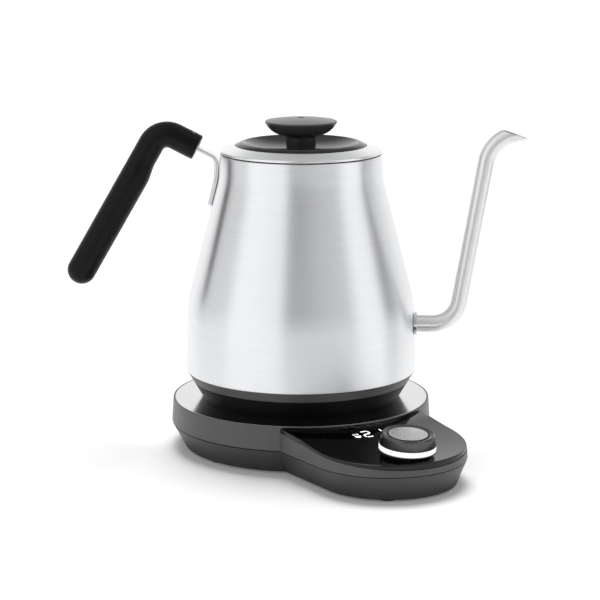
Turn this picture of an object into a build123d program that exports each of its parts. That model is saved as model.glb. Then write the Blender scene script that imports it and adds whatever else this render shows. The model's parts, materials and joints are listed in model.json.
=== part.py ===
from build123d import *
from dataclasses import dataclass
from math import atan, cos, radians, sin, tan
import os

# Driving dimensions in millimetres and degrees.
# Heights start at the table and radii at the kettle's upright axis; the spout points along +X.

# Powered base
foot_height = 1.2
foot_radius = 6.0
foot_pocket = 0.6
foot_edge_gap = 2.0
foot_side_angle = 81.5
foot_end_angle = 35.0
seam_height = 15.9
seam_groove = 0.5
seam_setback = 0.8
disc_top_height = 30.6
disc_radius = 80.4
disc_top_draft = 0.9
disc_bottom_taper = 7.9
disc_rim = 1.0
disc_plate_thickness = 2.0
shell_wall = 2.2

# Control lobe and its sloping panel
lobe_turn = 38.0
lobe_offset = -5.6
lobe_overhang = 19.5
lobe_radius = 48.1
lobe_bottom_lead = 1.6
lobe_bottom_taper = 6.9
lobe_top_back = 0.9
lobe_top_draft = 0.7
panel_tilt = 5.0
panel_step = 1.9
panel_thickness = 3.4

# Dial, light ring, display and boards
dial_ahead = 21.6
dial_radius = 15.8
dial_height = 9.3
dial_lift = 1.7
dial_wall = 2.4
dial_chamfer = 0.9
dial_travel = 1.0
cap_radius = 11.8
cap_thickness = 1.2
cap_groove = 0.35
ring_radius = 16.7
ring_height = 3.3
shaft_radius = 3.0
shaft_seat = 6.0
rotor_wall = 1.5
rotor_collar = 1.0
encoder_width = 14.0
encoder_floor = 1.4
display_behind = 7.9
display_width = 36.0
display_depth = 15.0
board_thickness = 1.6
control_board_width = 46.0
control_board_depth = 60.0
control_board_floor_gap = 2.4
power_board_width = 40.0
power_board_depth = 50.0
power_board_inset = 42.4
power_board_y = 14.0
power_board_lift = 3.0
relay_size = (18.0, 15.0, 11.0)
relay_place = (-7.0, 8.0)
coil_size = (15.0, 14.0, 10.0)
coil_place = (1.0, -11.0)
can_radius = 4.0
can_height = 10.0
can_x = 10.0
can_rows = (4.0, 14.0)
lead_radius = 1.6
lead_rise = 6.0
lead_bend = 4.0
lead_start = 14.0

# Round plug between base and kettle
socket_radius = 9.0
socket_rise = 8.4
socket_neck = 13.0
socket_flange = 20.0
socket_flange_thickness = 3.0
plug_wall = 3.0
plug_flange = 18.0
plug_flange_thickness = 2.4
plug_screw_count = 3
plug_screw_angle = 30.0
pin_radius = 2.2
pin_length = 7.6
core_radius = 6.0
core_collar = 8.6
core_thickness = 3.0
contact_depth = 0.8
contact_height = 1.6
contact_pitch = 3.2

# Kettle body and skirt
skirt_foot_height = 11.7
skirt_ring_height = 6.0
skirt_foot_taper = 6.9
skirt_joint_taper = 3.6
skirt_wall = 2.2
skirt_rest_width = 6.0
skirt_rest_lift = 1.2
body_radius = 71.0
body_height = 134.0
shoulder_rise = 42.7
shoulder_taper = 1.1
shoulder_round = 70.0
neck_rise = 118.7
neck_taper = 20.8
neck_round = 45.0
body_top_taper = 21.4
body_wall = 1.0
body_shelf = 6.0
floor_rise = 4.5
floor_thickness = 1.0
floor_rim = 3.5
spreader_inset = 15.0
spreader_thickness = 3.0
element_inset = 14.0
element_radius = 3.2
element_sweep = 310.0
terminal_radius = 1.3
terminal_length = 7.0
terminal_angle = 3.0
probe_radius = 2.5
probe_place = 20.0
probe_rise = 4.0
probe_flange = 5.0
cutout_radius = 7.0
cutout_height = 6.0
cutout_gap = 5.8
stud_radius = 3.2
stud_inset = 6.0
stud_count = 3
stud_angle = 90.0

# Spout
spout_rise = 29.1
spout_outer = 10.4
spout_wall = 0.8
spout_inside = 2.5
spout_ahead = 24.15
spout_bend = 17.0
spout_lean = 9.8
spout_top_rise = 114.1
spout_top_bend = 21.5
spout_tip_slope = 15.0
spout_tip_run = 24.0
mouth_back_ahead = 51.7
mouth_back_rise = 149.4
mouth_drop = 18.2
spout_flange_radius = 7.1
spout_flange_thickness = 1.3

# Mouth collar and lid
gasket_thickness = 0.7
gasket_setback = 0.5
collar_setback = 0.1
collar_edge = 1.4
collar_rise = 4.6
collar_width = 9.3
collar_ledge_width = 2.7
collar_wall = 1.2
collar_depth = 11.0
collar_ledge = 2.0
lid_rim_height = 3.9
lid_rim_width = 5.2
lid_edge_height = 1.7
lid_floor_radius = 12.0
lid_dish_depth = 5.7
lid_plate_thickness = 2.2
lid_plug_depth = 8.0
lid_plug_wall = 1.2
seal_width = 1.7
seal_height = 3.4
seal_drop = 2.2
knob_radius = 22.2
knob_rim_rise = 17.9
knob_rim_round = 0.6
knob_dome = 2.5
knob_bowl_rise = 9.6
knob_stem = 9.1
knob_vent_radius = 1.8
knob_vent_depth = 1.2
knob_bore_depth = 9.0

# Handle
grip_standoff = 14.1
grip_end_rise = 2.6
grip_end_drop = 26.5
grip_corner_run = 25.8
grip_bend = 11.2
grip_lean = 30.0
grip_run = 102.0
grip_radius = 8.9
grip_neck_radius = 8.0
grip_step = 0.6
grip_neck_run = 26.0
grip_blend = 4.0
bar_width = 11.0
bar_thickness = 2.6
bar_bend = 6.0
bar_drop = 32.7
bar_tang = 20.0
grip_screw_place = 6.2
grip_screw_head = 2.0
grip_screw_depth = 4.0

# Fasteners and inlet
screw_radius = 1.5
screw_head_radius = 2.8
screw_head_height = 1.8
screw_bite = 8.0
boss_wall = 2.0
boss_drop = 4.0
case_screw_inset = 20.4
case_screw_angles = (100.0, 200.0, 350.0)
lobe_screw_across = 33.0
lobe_screw_behind = 3.9
board_post_radius = 3.0
gland_bore = 3.4
gland_wall = 1.6
gland_flange = 1.2
gland_flange_thickness = 1.5
gland_proud = 1.5

# Clearances
slide_clearance = 0.3
running_clearance = 0.05
fixed_clearance = 0.1
touch_gap = 0.05

# Heights and places that follow from the sizes above
disc_top_radius = disc_radius - disc_top_draft
disc_bottom_radius = disc_radius - disc_bottom_taper
lobe_reach = disc_radius + lobe_overhang
lobe_bottom_reach = lobe_reach + lobe_bottom_lead
lobe_bottom_radius = lobe_radius - lobe_bottom_taper
lobe_top_reach = lobe_reach - lobe_top_back
lobe_top_radius = lobe_radius - lobe_top_draft
dial_reach = lobe_reach + dial_ahead
display_reach = lobe_reach - display_behind
lobe_screw_reach = lobe_reach - lobe_screw_behind
case_screw_circle = disc_radius - case_screw_inset
power_board_x = power_board_inset - disc_radius
skirt_joint_radius = body_radius - skirt_joint_taper
skirt_foot_radius = skirt_joint_radius - skirt_foot_taper
shoulder_radius = body_radius - shoulder_taper
neck_radius = body_radius - neck_taper
body_top_radius = body_radius - body_top_taper
spreader_radius = body_radius - spreader_inset
element_ring = spreader_radius - element_inset
stud_circle = spreader_radius - stud_inset
cutout_place = element_ring - element_radius - cutout_radius - cutout_gap
spout_run = body_radius + spout_ahead
mouth_back_reach = body_radius + mouth_back_ahead
collar_radius = body_top_radius - collar_setback
collar_mouth = collar_radius - collar_width
collar_throat = collar_mouth - collar_ledge_width
grip_end_reach = body_top_radius + grip_standoff
disc_ceiling = disc_top_height - disc_plate_thickness - shell_wall
panel_height = disc_top_height - panel_step
skirt_joint_height = disc_top_height + skirt_foot_height
body_bottom = skirt_joint_height + skirt_ring_height
body_top = body_bottom + body_height
floor_height = body_bottom + floor_rise
spreader_bottom = floor_height - spreader_thickness
foot_floor_top = disc_top_height + skirt_rest_lift + skirt_wall
spout_height = body_bottom + spout_rise
collar_bottom = body_top + gasket_thickness
lid_seat = collar_bottom + collar_rise - collar_ledge
lid_top = lid_seat + lid_rim_height
lid_floor = lid_top - lid_dish_depth
lid_bottom = lid_floor - lid_plate_thickness
knob_bottom = lid_floor
boss_top = seam_height - boss_drop
boss_radius = screw_head_radius + fixed_clearance + boss_wall
shell_floor = foot_height + shell_wall
reach_of_everything = 4 * (lobe_reach + lobe_radius)

CENTRED = (Align.CENTER, Align.CENTER, Align.CENTER)
STANDING = (Align.CENTER, Align.CENTER, Align.MIN)
HANGING = (Align.CENTER, Align.CENTER, Align.MAX)

# The lobe's own frame: x across it, y back towards the kettle; the panel frame lies on the dial's place
lobe_frame = Location((0, 0, 0), (0, 0, lobe_turn)) * Location((lobe_offset, 0, 0))


def panel_height_at(reach):
    """Height of the sloping panel's face at a distance from the kettle's axis."""
    return panel_height - (reach - disc_top_radius) * tan(radians(panel_tilt))


def panel_spot(reach):
    """Frame on the panel's face, on its centre line: x across, y back up the slope, z out of it."""
    return lobe_frame * Location((0, -reach, panel_height_at(reach)), (panel_tilt, 0, 0))


dial_frame = panel_spot(dial_reach)
display_frame = panel_spot(display_reach)


@dataclass
class Level:
    """Plan of the base at one height: the disc, and the lobe with its round end."""
    height: float
    disc: float
    reach: float
    lobe: float


bottom_level = Level(foot_height, disc_bottom_radius, lobe_bottom_reach, lobe_bottom_radius)
seam_level = Level(seam_height, disc_radius, lobe_reach, lobe_radius)
top_level = Level(disc_top_height, disc_top_radius, lobe_top_reach, lobe_top_radius)


def level_at(low, high, height):
    """The plan at a height between two given plans, along straight drafted walls."""
    share = (height - low.height) / (high.height - low.height)
    disc = low.disc + share * (high.disc - low.disc)
    reach = low.reach + share * (high.reach - low.reach)
    lobe = low.lobe + share * (high.lobe - low.lobe)
    return Level(height, disc, reach, lobe)


def turned(*points):
    """Solid turned about the kettle's axis from a closed outline of (radius, height) points."""
    outline = Polyline(*[(radius, 0, height) for radius, height in points], close=True)
    return revolve(make_face(outline), Axis.Z)


def tube(outer, inner, low, high):
    """Upright ring between two heights."""
    return turned((inner, low), (outer, low), (outer, high), (inner, high))


def rod(radius, low, high):
    """Upright round bar between two heights."""
    return Pos(0, 0, low) * Cylinder(radius, high - low, align=STANDING)


def group(solids):
    """Separate solids of one kind kept together."""
    return Compound(list(solids))


def around(count, radius, start=0.0):
    """Places spread evenly on a circle."""
    return [Rot(0, 0, start + 360.0 * index / count) * Pos(radius, 0, 0) for index in range(count)]


def screw(seat, end, head_radius=screw_head_radius, head_height=screw_head_height):
    """Upright screw with its head below a seat and its thread up to an end."""
    return rod(head_radius, seat - head_height, seat) + rod(screw_radius, seat, end)


def screw_hole(low, high):
    """Hole that a screw's thread fills, between two heights."""
    return rod(screw_radius + running_clearance, low, high)


# Base


def base_disc(low, high, inset):
    """Drafted disc of the base between two plans, set in from its wall."""
    cone = Cone(low.disc - inset, high.disc - inset, high.height - low.height, align=STANDING)
    return Pos(0, 0, low.height) * cone


def lobe_plan(level, inset):
    """Outline of the lobe in plan: a straight-sided bar with a round end."""
    radius = level.lobe - inset
    bar = Pos(0, -level.reach / 2) * Rectangle(2 * radius, level.reach)
    end = Pos(0, -level.reach) * Circle(radius)
    return (lobe_frame * Pos(0, 0, level.height) * (bar + end)).face()


def base_lobe(low, high, inset):
    """Drafted lobe of the base between two plans, set in from its wall."""
    return loft([lobe_plan(low, inset), lobe_plan(high, inset)], ruled=True)


def base_block(low, high, inset):
    """Disc and lobe together."""
    return base_disc(low, high, inset) + base_lobe(low, high, inset)


def above_panel(drop):
    """Everything higher than a plane that lies under the panel's face by the given drop."""
    side = reach_of_everything
    return dial_frame * Pos(0, 0, -drop) * Box(side, side, side, align=STANDING)


def case_screw_spots():
    """Upright places of the screws that hold the two base shells together."""
    spots = [Rot(0, 0, angle) * Pos(case_screw_circle, 0, 0) for angle in case_screw_angles]
    sides = (-lobe_screw_across, lobe_screw_across)
    return spots + [lobe_frame * Pos(side, -lobe_screw_reach, 0) for side in sides]


def board_spots():
    """Places of the control board's screws in the dial's frame."""
    side = control_board_width / 2 - board_post_radius
    front = control_board_front + board_post_radius
    back = control_board_front + control_board_depth - board_post_radius
    return [dial_frame * Pos(x, y, 0) for x in (-side, side) for y in (front, back)]


panel_ceiling = panel_thickness + shell_wall
control_board_front = -encoder_width / 2 - board_post_radius * 2
board_room = panel_height_at(dial_reach - control_board_front) - shell_floor - control_board_floor_gap
control_board_top = board_room * cos(radians(panel_tilt)) - board_thickness - screw_head_height
encoder_height = control_board_top - panel_ceiling
rotor_height = encoder_height - encoder_floor - slide_clearance


def base_upper_shell():
    """Upper casing: walls, ceilings, screw posts and the openings for plug, dial and display."""
    outer = base_disc(seam_level, top_level, 0)
    outer += base_lobe(seam_level, top_level, 0) - above_panel(panel_thickness)
    ceiling_level = level_at(seam_level, top_level, disc_ceiling)
    cavity = base_disc(seam_level, ceiling_level, shell_wall)
    cavity += base_lobe(seam_level, ceiling_level, shell_wall) - above_panel(panel_ceiling)
    posts = [spot * rod(screw_radius + boss_wall, boss_top, disc_top_height) for spot in case_screw_spots()]
    board_posts = [spot * rod(board_post_radius, -control_board_top, 0) for spot in board_spots()]
    roof = outer & (Part() + posts + board_posts)
    stubs = [spot * rod(screw_radius + boss_wall, boss_top, seam_height) for spot in case_screw_spots()]
    board_stubs = (Part() + board_posts) & rod(reach_of_everything, 0, seam_height)
    shell = outer - cavity + roof + stubs + board_stubs
    plate_seat = rod(disc_top_radius - disc_rim, disc_top_height - disc_plate_thickness, disc_top_height)
    neck_hole = rod(socket_neck + fixed_clearance, seam_height, disc_top_height)
    shaft_hole = dial_frame * Cylinder(shaft_radius + rotor_wall, 3 * panel_ceiling, align=CENTRED)
    window = Box(display_width, display_depth, 3 * panel_ceiling, align=CENTRED)
    shell -= plate_seat + neck_hole + shaft_hole + display_frame * window
    shell -= [spot * screw_hole(boss_top, boss_top + screw_bite) for spot in case_screw_spots()]
    low = -control_board_top
    shell -= [spot * screw_hole(low, low + screw_bite) for spot in board_spots()]
    return shell


def base_lower_shell():
    """Tapered lower tray with screw bosses, foot pockets, board posts and the cord inlet."""
    groove_level = level_at(bottom_level, seam_level, seam_height - seam_groove)
    floor_level = level_at(bottom_level, seam_level, shell_floor)
    shell = base_block(bottom_level, groove_level, 0)
    shell += base_block(groove_level, seam_level, seam_setback)
    shell -= base_block(floor_level, seam_level, shell_wall)
    shell += [spot * rod(boss_radius, foot_height, boss_top) for spot in case_screw_spots()]
    shell += [spot * rod(board_post_radius, foot_height, power_board_bottom) for spot in power_board_spots()]
    head_seat = boss_top - boss_wall
    head_hole = screw_head_radius + fixed_clearance
    for spot in case_screw_spots():
        shell -= spot * rod(head_hole, foot_height, head_seat)
        shell -= spot * rod(screw_radius + fixed_clearance, head_seat, boss_top)
    shell -= [spot * screw_hole(shell_floor, power_board_bottom) for spot in power_board_spots()]
    pocket = rod(foot_radius + fixed_clearance, foot_height, foot_height + foot_pocket)
    shell -= [spot * pocket for spot in foot_spots()]
    shell -= gland_place * Cylinder(gland_bore + gland_wall, reach_of_everything, align=STANDING)
    return shell


def foot_spots():
    """Places of the rubber feet near the lower edge: beside and behind the disc, and under the lobe's end."""
    circle = disc_bottom_radius - foot_radius - foot_edge_gap
    disc_angles = (-foot_side_angle, foot_side_angle, 180.0)
    disc_feet = [Rot(0, 0, lobe_turn + angle) * Pos(0, -circle, 0) for angle in disc_angles]
    end_circle = lobe_bottom_radius - foot_radius - foot_edge_gap
    ends = [Rot(0, 0, angle) * Pos(0, -end_circle, 0) for angle in (-foot_end_angle, foot_end_angle)]
    return disc_feet + [lobe_frame * Pos(0, -lobe_bottom_reach, 0) * end for end in ends]


def base_feet():
    """Soft round feet that the base stands on."""
    foot = rod(foot_radius, 0, foot_height + foot_pocket)
    return group([spot * foot for spot in foot_spots()])


def base_top_plate():
    """Gloss plate flush with the disc's rim, with an opening for the plug's neck."""
    low = disc_top_height - disc_plate_thickness
    radius = disc_top_radius - disc_rim - fixed_clearance
    return tube(radius, socket_neck + fixed_clearance, low, disc_top_height)


def control_panel():
    """Gloss panel on the lobe, cut back where it meets the disc's wall."""
    slab = Box(reach_of_everything, reach_of_everything, panel_thickness, align=HANGING)
    panel = base_lobe(seam_level, top_level, 0) & (dial_frame * slab)
    panel -= base_disc(seam_level, top_level, -fixed_clearance)
    panel -= rod(disc_top_radius, seam_height, disc_top_height)
    return panel - dial_frame * Cylinder(shaft_radius + rotor_wall, 3 * panel_thickness, align=CENTRED)


def light_ring():
    """Glowing ring that stands on the panel round the dial."""
    return dial_frame * tube(ring_radius, dial_radius + slide_clearance, 0, ring_height)


def display_module():
    """Lit display block on the control board, up to the underside of the panel."""
    gap = 2 * fixed_clearance
    height = control_board_top - panel_thickness
    block = Box(display_width - gap, display_depth - gap, height, align=HANGING)
    return display_frame * Pos(0, 0, -panel_thickness) * block


def control_board():
    """Board under the panel that carries the display and the encoder."""
    middle = control_board_front + control_board_depth / 2
    size = (control_board_width, control_board_depth, board_thickness)
    board = dial_frame * Pos(0, middle, -control_board_top) * Box(*size, align=HANGING)
    low = -control_board_top - board_thickness
    return board - [spot * rod(screw_radius + fixed_clearance, low, 0) for spot in board_spots()]


def board_screws():
    """Screws that hold the control board up against its posts."""
    low = -control_board_top - board_thickness
    return group([spot * screw(low, low + screw_bite) for spot in board_spots()])


power_board_bottom = shell_floor + power_board_lift


def power_board_spots():
    """Places of the power board's screws."""
    x_side = power_board_width / 2 - board_post_radius
    y_side = power_board_depth / 2 - board_post_radius
    offsets = [(x, y) for x in (-x_side, x_side) for y in (-y_side, y_side)]
    return [Pos(power_board_x + x, power_board_y + y, 0) for x, y in offsets]


def power_board():
    """Power supply board with its relay, transformer and capacitors."""
    top = power_board_bottom + board_thickness
    board = Pos(power_board_x, power_board_y, power_board_bottom)
    board = board * Box(power_board_width, power_board_depth, board_thickness, align=STANDING)
    face = Pos(power_board_x, power_board_y, top)
    relay = face * Pos(*relay_place) * Box(*relay_size, align=STANDING)
    coil = face * Pos(*coil_place) * Box(*coil_size, align=STANDING)
    can = Cylinder(can_radius, can_height, align=STANDING)
    board = board + relay + coil + [face * Pos(can_x, row) * can for row in can_rows]
    hole = rod(screw_radius + fixed_clearance, power_board_bottom, top)
    return board - [spot * hole for spot in power_board_spots()]


def power_board_screws():
    """Screws that hold the power board down on its posts."""
    top = power_board_bottom + board_thickness
    fixing = Rot(180, 0, 0) * screw(-top, -shell_floor - touch_gap)
    return group([spot * fixing for spot in power_board_spots()])


def case_screws():
    """Screws from below that hold the base shells together."""
    seat = boss_top - boss_wall
    return group([spot * screw(seat, boss_top + screw_bite - touch_gap) for spot in case_screw_spots()])


gland_height = (shell_floor + seam_height) / 2
gland_level = level_at(bottom_level, seam_level, gland_height)
gland_place = Location((0, 0, gland_height), (-90, 0, 0))


def cord_gland():
    """Bushing in the rear wall that the supply lead would come through, with a flange inside."""
    outer = gland_bore + gland_wall - fixed_clearance
    slope = disc_bottom_taper / (seam_height - foot_height)
    seat = gland_level.disc - shell_wall - slope * (outer + gland_flange) - touch_gap
    start = seat - gland_flange_thickness
    end = gland_level.disc + gland_proud
    bush = rod(outer, start, end) + rod(outer + gland_flange, start, seat)
    return gland_place * (bush - rod(gland_bore, start, end))


def board_lead():
    """Round lead from the power board's face to the underside of the control board."""
    top = power_board_bottom + board_thickness
    inset = board_post_radius * 2 + lead_radius
    start = Vector(power_board_x + power_board_width / 2 - inset, power_board_y - lead_start, top)
    back = control_board_front + control_board_depth - inset
    low = -control_board_top - board_thickness
    end = (dial_frame * Location((0, back, low))).position
    below = (dial_frame * Location((0, back, low - lead_rise))).position
    path = FilletPolyline(start, start + Vector(0, 0, lead_rise), below, end, radius=lead_bend)
    return sweep(Plane(origin=start, z_dir=path % 0) * Circle(lead_radius), path=path)


def base_socket():
    """Round socket in the middle of the base: flange under the ceiling, neck and contact post."""
    flange = rod(socket_flange, disc_ceiling - socket_flange_thickness, disc_ceiling)
    neck = rod(socket_neck, disc_ceiling, disc_top_height)
    post = rod(socket_radius, disc_top_height, socket_top)
    pin_hole = rod(pin_radius + slide_clearance, socket_top - pin_length, socket_top)
    return flange + neck + post - pin_hole - socket_contacts()


socket_top = disc_top_height + socket_rise


def contact_levels(top):
    """Lower heights of the two contact rings below a given top."""
    return [top - contact_pitch * (index + 1) for index in range(2)]


def socket_contacts():
    """Brass rings let into the socket's post."""
    inner = socket_radius - contact_depth
    outer = socket_radius
    return group([tube(outer, inner, low, low + contact_height) for low in contact_levels(socket_top)])


# Dial


def encoder_body():
    """Encoder housing on the control board, with a bore for its rotor."""
    block = Box(encoder_width, encoder_width, encoder_height, align=HANGING)
    bore = shaft_radius + rotor_wall + running_clearance
    collar = bore + rotor_collar
    low = -encoder_height + encoder_floor
    pocket = rod(bore, low, 0) + rod(collar, low, low + rotor_collar + slide_clearance)
    return dial_frame * Pos(0, 0, -panel_ceiling) * (block - pocket)


def encoder_rotor():
    """Turning sleeve inside the encoder, with a collar that keeps it in."""
    outer = shaft_radius + rotor_wall
    low = -encoder_height + encoder_floor
    sleeve = rod(outer, low, low + rotor_height) + rod(outer + rotor_collar, low, low + rotor_collar)
    sleeve -= rod(shaft_radius + running_clearance, low, 0)
    return dial_frame * Pos(0, 0, -panel_ceiling) * sleeve


def encoder_shaft():
    """Shaft that turns with the dial and slides through the rotor when the dial is pressed."""
    low = -panel_ceiling - encoder_height + encoder_floor + dial_travel + slide_clearance
    return dial_frame * rod(shaft_radius, low, dial_lift + shaft_seat)


def dial_knob():
    """Knob with a hollow underside, a hub on the shaft and a seat for its cap."""
    shell = rod(dial_radius, dial_lift, dial_height)
    shell = chamfer(shell.edges().group_by(Axis.Z)[-1], dial_chamfer)
    roof = dial_height - cap_thickness - dial_wall
    hub = shaft_radius + dial_wall
    shell -= tube(dial_radius - dial_wall, hub, dial_lift, roof)
    shell -= rod(shaft_radius + running_clearance, dial_lift, dial_lift + shaft_seat)
    shell -= rod(cap_radius + cap_groove, dial_height - cap_thickness, dial_height)
    return dial_frame * shell


def dial_cap():
    """Thin metal disc set into the dial's top."""
    return dial_frame * rod(cap_radius, dial_height - cap_thickness, dial_height)


# Plug on the kettle's underside


def kettle_plug():
    """Plug housing: a cup over the base's post, a flange on the kettle's foot and a bore for the core."""
    cup = socket_radius + slide_clearance
    low = disc_top_height + skirt_rest_lift
    roof = socket_top + slide_clearance
    housing = rod(cup + plug_wall, low, roof + core_thickness) - rod(cup, low, roof)
    housing += tube(plug_flange, cup, foot_floor_top, foot_floor_top + plug_flange_thickness)
    housing -= rod(core_radius + running_clearance, roof, roof + core_thickness)
    housing -= plug_contacts()
    thread = screw_hole(foot_floor_top, foot_floor_top + plug_flange_thickness)
    return housing - [spot * thread for spot in plug_screw_spots()]


def plug_contacts():
    """Brass rings let into the plug's cup opposite those of the base."""
    inner = socket_radius + slide_clearance
    outer = inner + contact_depth
    return group([tube(outer, inner, low, low + contact_height) for low in contact_levels(socket_top)])


def plug_core():
    """Centre contact of the plug: collar, round core and pin."""
    low = socket_top + slide_clearance
    high = low + core_thickness
    core = rod(core_radius, low, high) + rod(core_collar, high, high + contact_height)
    return core + rod(pin_radius, socket_top - pin_length + slide_clearance, low)


def plug_screw_spots():
    """Places of the plug's screws in the foot's floor."""
    circle = (socket_radius + slide_clearance + plug_wall + plug_flange) / 2
    return around(plug_screw_count, circle, plug_screw_angle)


def foot_screw_seat():
    """Height of the face under the foot's floor that sunk screw heads bear on."""
    return foot_floor_top - skirt_wall / 2


def plug_screws():
    """Screws from below that hold the plug housing to the foot."""
    end = foot_floor_top + plug_flange_thickness - touch_gap
    fixing = screw(foot_screw_seat(), end, head_height=skirt_wall / 2)
    return group([spot * fixing for spot in plug_screw_spots()])


# Kettle body


def wall_path(offset):
    """Side of the body from its lower edge to its top, moved outwards by an offset."""
    points = [
        (body_radius + offset, 0, body_bottom),
        (shoulder_radius + offset, 0, body_bottom + shoulder_rise),
        (neck_radius + offset, 0, body_bottom + neck_rise),
        (body_top_radius + offset, 0, body_top),
    ]
    return FilletPolyline(*points, radius=[shoulder_round, neck_round])


def wall_radius(height):
    """Outer radius of the body's lower wall at a height."""
    share = (height - body_bottom) / shoulder_rise
    return body_radius + share * (shoulder_radius - body_radius)


def body_shell():
    """Thin steel body with a shelf at its top and a hole for the spout."""
    outer = wall_path(0)
    inner = wall_path(-body_wall)
    foot_edge = Line(outer @ 0, inner @ 0)
    top_edge = Line(outer @ 1, inner @ 1)
    shell = revolve(make_face([outer, top_edge, inner, foot_edge]), Axis.Z)
    shelf = body_top_radius - body_wall
    shell += tube(shelf + body_wall / 2, shelf - body_shelf, body_top - body_wall, body_top)
    hole = Cylinder(spout_outer / 2 + touch_gap, body_radius, align=STANDING)
    return shell - Pos(0, 0, spout_height) * Rot(0, 90, 0) * hole


def floor_pan():
    """Floor of the water chamber with a turned-down rim against the wall."""
    top = floor_height + floor_thickness
    low = floor_height - floor_rim
    edge = body_wall + touch_gap
    top_radius = wall_radius(top) - edge
    low_radius = wall_radius(low) - edge
    pan = turned(
        (0, floor_height),
        (top_radius - floor_thickness, floor_height),
        (low_radius - floor_thickness, low),
        (low_radius, low),
        (top_radius, top),
        (0, top),
    )
    return pan - probe_hole()


def probe_hole():
    """Hole for the probe through floor and spreader."""
    return Pos(0, probe_place, 0) * rod(probe_radius + touch_gap, spreader_bottom, body_top)


def heat_spreader():
    """Aluminium plate under the floor that carries the element."""
    return rod(spreader_radius, spreader_bottom, floor_height) - probe_hole()


def heating_element():
    """Sheathed ring element under the spreader with two terminals."""
    middle = spreader_bottom - element_radius - touch_gap
    ring = Pos(0, 0, middle) * Torus(element_ring, element_radius, major_angle=element_sweep)
    angles = (terminal_angle, element_sweep - terminal_angle)
    pin = Pos(element_ring, 0, 0) * rod(terminal_radius, middle - terminal_length, middle)
    return ring + [Rot(0, 0, angle) * pin for angle in angles]


def temperature_probe():
    """Probe through the floor with a flange under the spreader."""
    stem = rod(probe_radius, spreader_bottom, floor_height + floor_thickness + probe_rise)
    return Pos(0, probe_place, 0) * (stem + rod(probe_flange, spreader_bottom - probe_rise, spreader_bottom))


def thermal_cutout():
    """Round thermal switch against the spreader with its two tabs."""
    can = rod(cutout_radius, spreader_bottom - cutout_height, spreader_bottom)
    low = spreader_bottom - cutout_height - probe_rise
    tab = Box(board_thickness, probe_rise, probe_rise, align=STANDING)
    tabs = [Pos(side, 0, low) * tab for side in (-cutout_radius / 2, cutout_radius / 2)]
    return Pos(0, -cutout_place, 0) * (can + tabs)


def stud_spots():
    """Places of the foot's studs under the spreader."""
    return around(stud_count, stud_circle, stud_angle)


def foot_studs():
    """Threaded posts welded under the spreader for the foot's screws."""
    stud = rod(stud_radius, foot_floor_top, spreader_bottom)
    stud -= screw_hole(foot_floor_top, foot_floor_top + screw_bite)
    return group([spot * stud for spot in stud_spots()])


def foot_screws():
    """Screws from below through the foot into its studs."""
    end = foot_floor_top + screw_bite - touch_gap
    fixing = screw(foot_screw_seat(), end, head_height=skirt_wall / 2)
    return group([spot * fixing for spot in stud_spots()])


def skirt_ring():
    """Satin ring under the body with a shelf that the wall stands on."""
    inner = skirt_joint_radius - skirt_wall
    shelf = body_bottom - skirt_wall / 2
    return turned(
        (skirt_joint_radius, skirt_joint_height),
        (body_radius, body_bottom),
        (inner, body_bottom),
        (inner, shelf),
        (body_radius - skirt_wall - skirt_wall / 2, shelf),
        (inner, skirt_joint_height),
    )


def skirt_foot():
    """Gloss foot of the kettle: sloping wall, raised floor and the ring it rests on."""
    low = disc_top_height
    floor_low = low + skirt_rest_lift
    inner_joint = skirt_joint_radius - skirt_wall
    foot = turned(
        (skirt_foot_radius, low),
        (skirt_joint_radius, skirt_joint_height),
        (inner_joint, skirt_joint_height),
        (skirt_foot_radius - skirt_wall, foot_floor_top),
        (plug_opening, foot_floor_top),
        (plug_opening, floor_low),
        (skirt_foot_radius - skirt_rest_width, floor_low),
        (skirt_foot_radius - skirt_rest_width, low),
    )
    head = rod(screw_head_radius + fixed_clearance, low, foot_screw_seat())
    shank = rod(screw_radius + fixed_clearance, low, foot_floor_top)
    spots = plug_screw_spots() + stud_spots()
    return foot - [spot * (head + shank) for spot in spots]


plug_opening = socket_radius + slide_clearance + plug_wall + fixed_clearance


# Spout


def spout_path():
    """Centre line of the gooseneck: out of the body, up the leaning run, over to the tip."""
    corner = Vector(spout_run, 0, spout_height)
    lean = radians(spout_lean)
    top_z = body_bottom + spout_top_rise + spout_rise
    top = Vector(spout_run + (top_z - spout_height) * tan(lean), 0, top_z)
    slope = radians(spout_tip_slope)
    tip = top + Vector(cos(slope), 0, sin(slope)) * spout_tip_run
    root = Vector(wall_radius(spout_height) - body_wall - spout_inside, 0, spout_height)
    return FilletPolyline(root, corner, top, tip, radius=[spout_bend, spout_top_bend])


def spout_tube():
    """Gooseneck tube, open at the tip where a sloping cut leaves a beak."""
    path = spout_path()
    start = Plane(origin=path @ 0, z_dir=path % 0)
    outer = sweep(start * Circle(spout_outer / 2), path=path)
    inner = sweep(start * Circle(spout_outer / 2 - spout_wall), path=path)
    drop = radians(mouth_drop)
    mouth = Plane(
        origin=(mouth_back_reach, 0, body_bottom + mouth_back_rise),
        x_dir=(cos(drop), 0, -sin(drop)),
        z_dir=(sin(drop), 0, cos(drop)),
    )
    side = 4 * spout_outer
    return outer - inner - mouth * Box(side, side, side, align=STANDING)


def spout_flange():
    """Thin round flange where the spout meets the body."""
    seat = wall_radius(spout_height - spout_flange_radius) + touch_gap
    ring = tube(spout_flange_radius, spout_outer / 2 + touch_gap, seat, seat + spout_flange_thickness)
    return Pos(0, 0, spout_height) * Rot(0, 90, 0) * ring


# Collar and lid


def collar_gasket():
    """Dark gasket between the body's shelf and the collar."""
    outer = body_top_radius - gasket_setback
    return tube(outer, body_top_radius - body_wall - body_shelf, body_top, collar_bottom)


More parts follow.
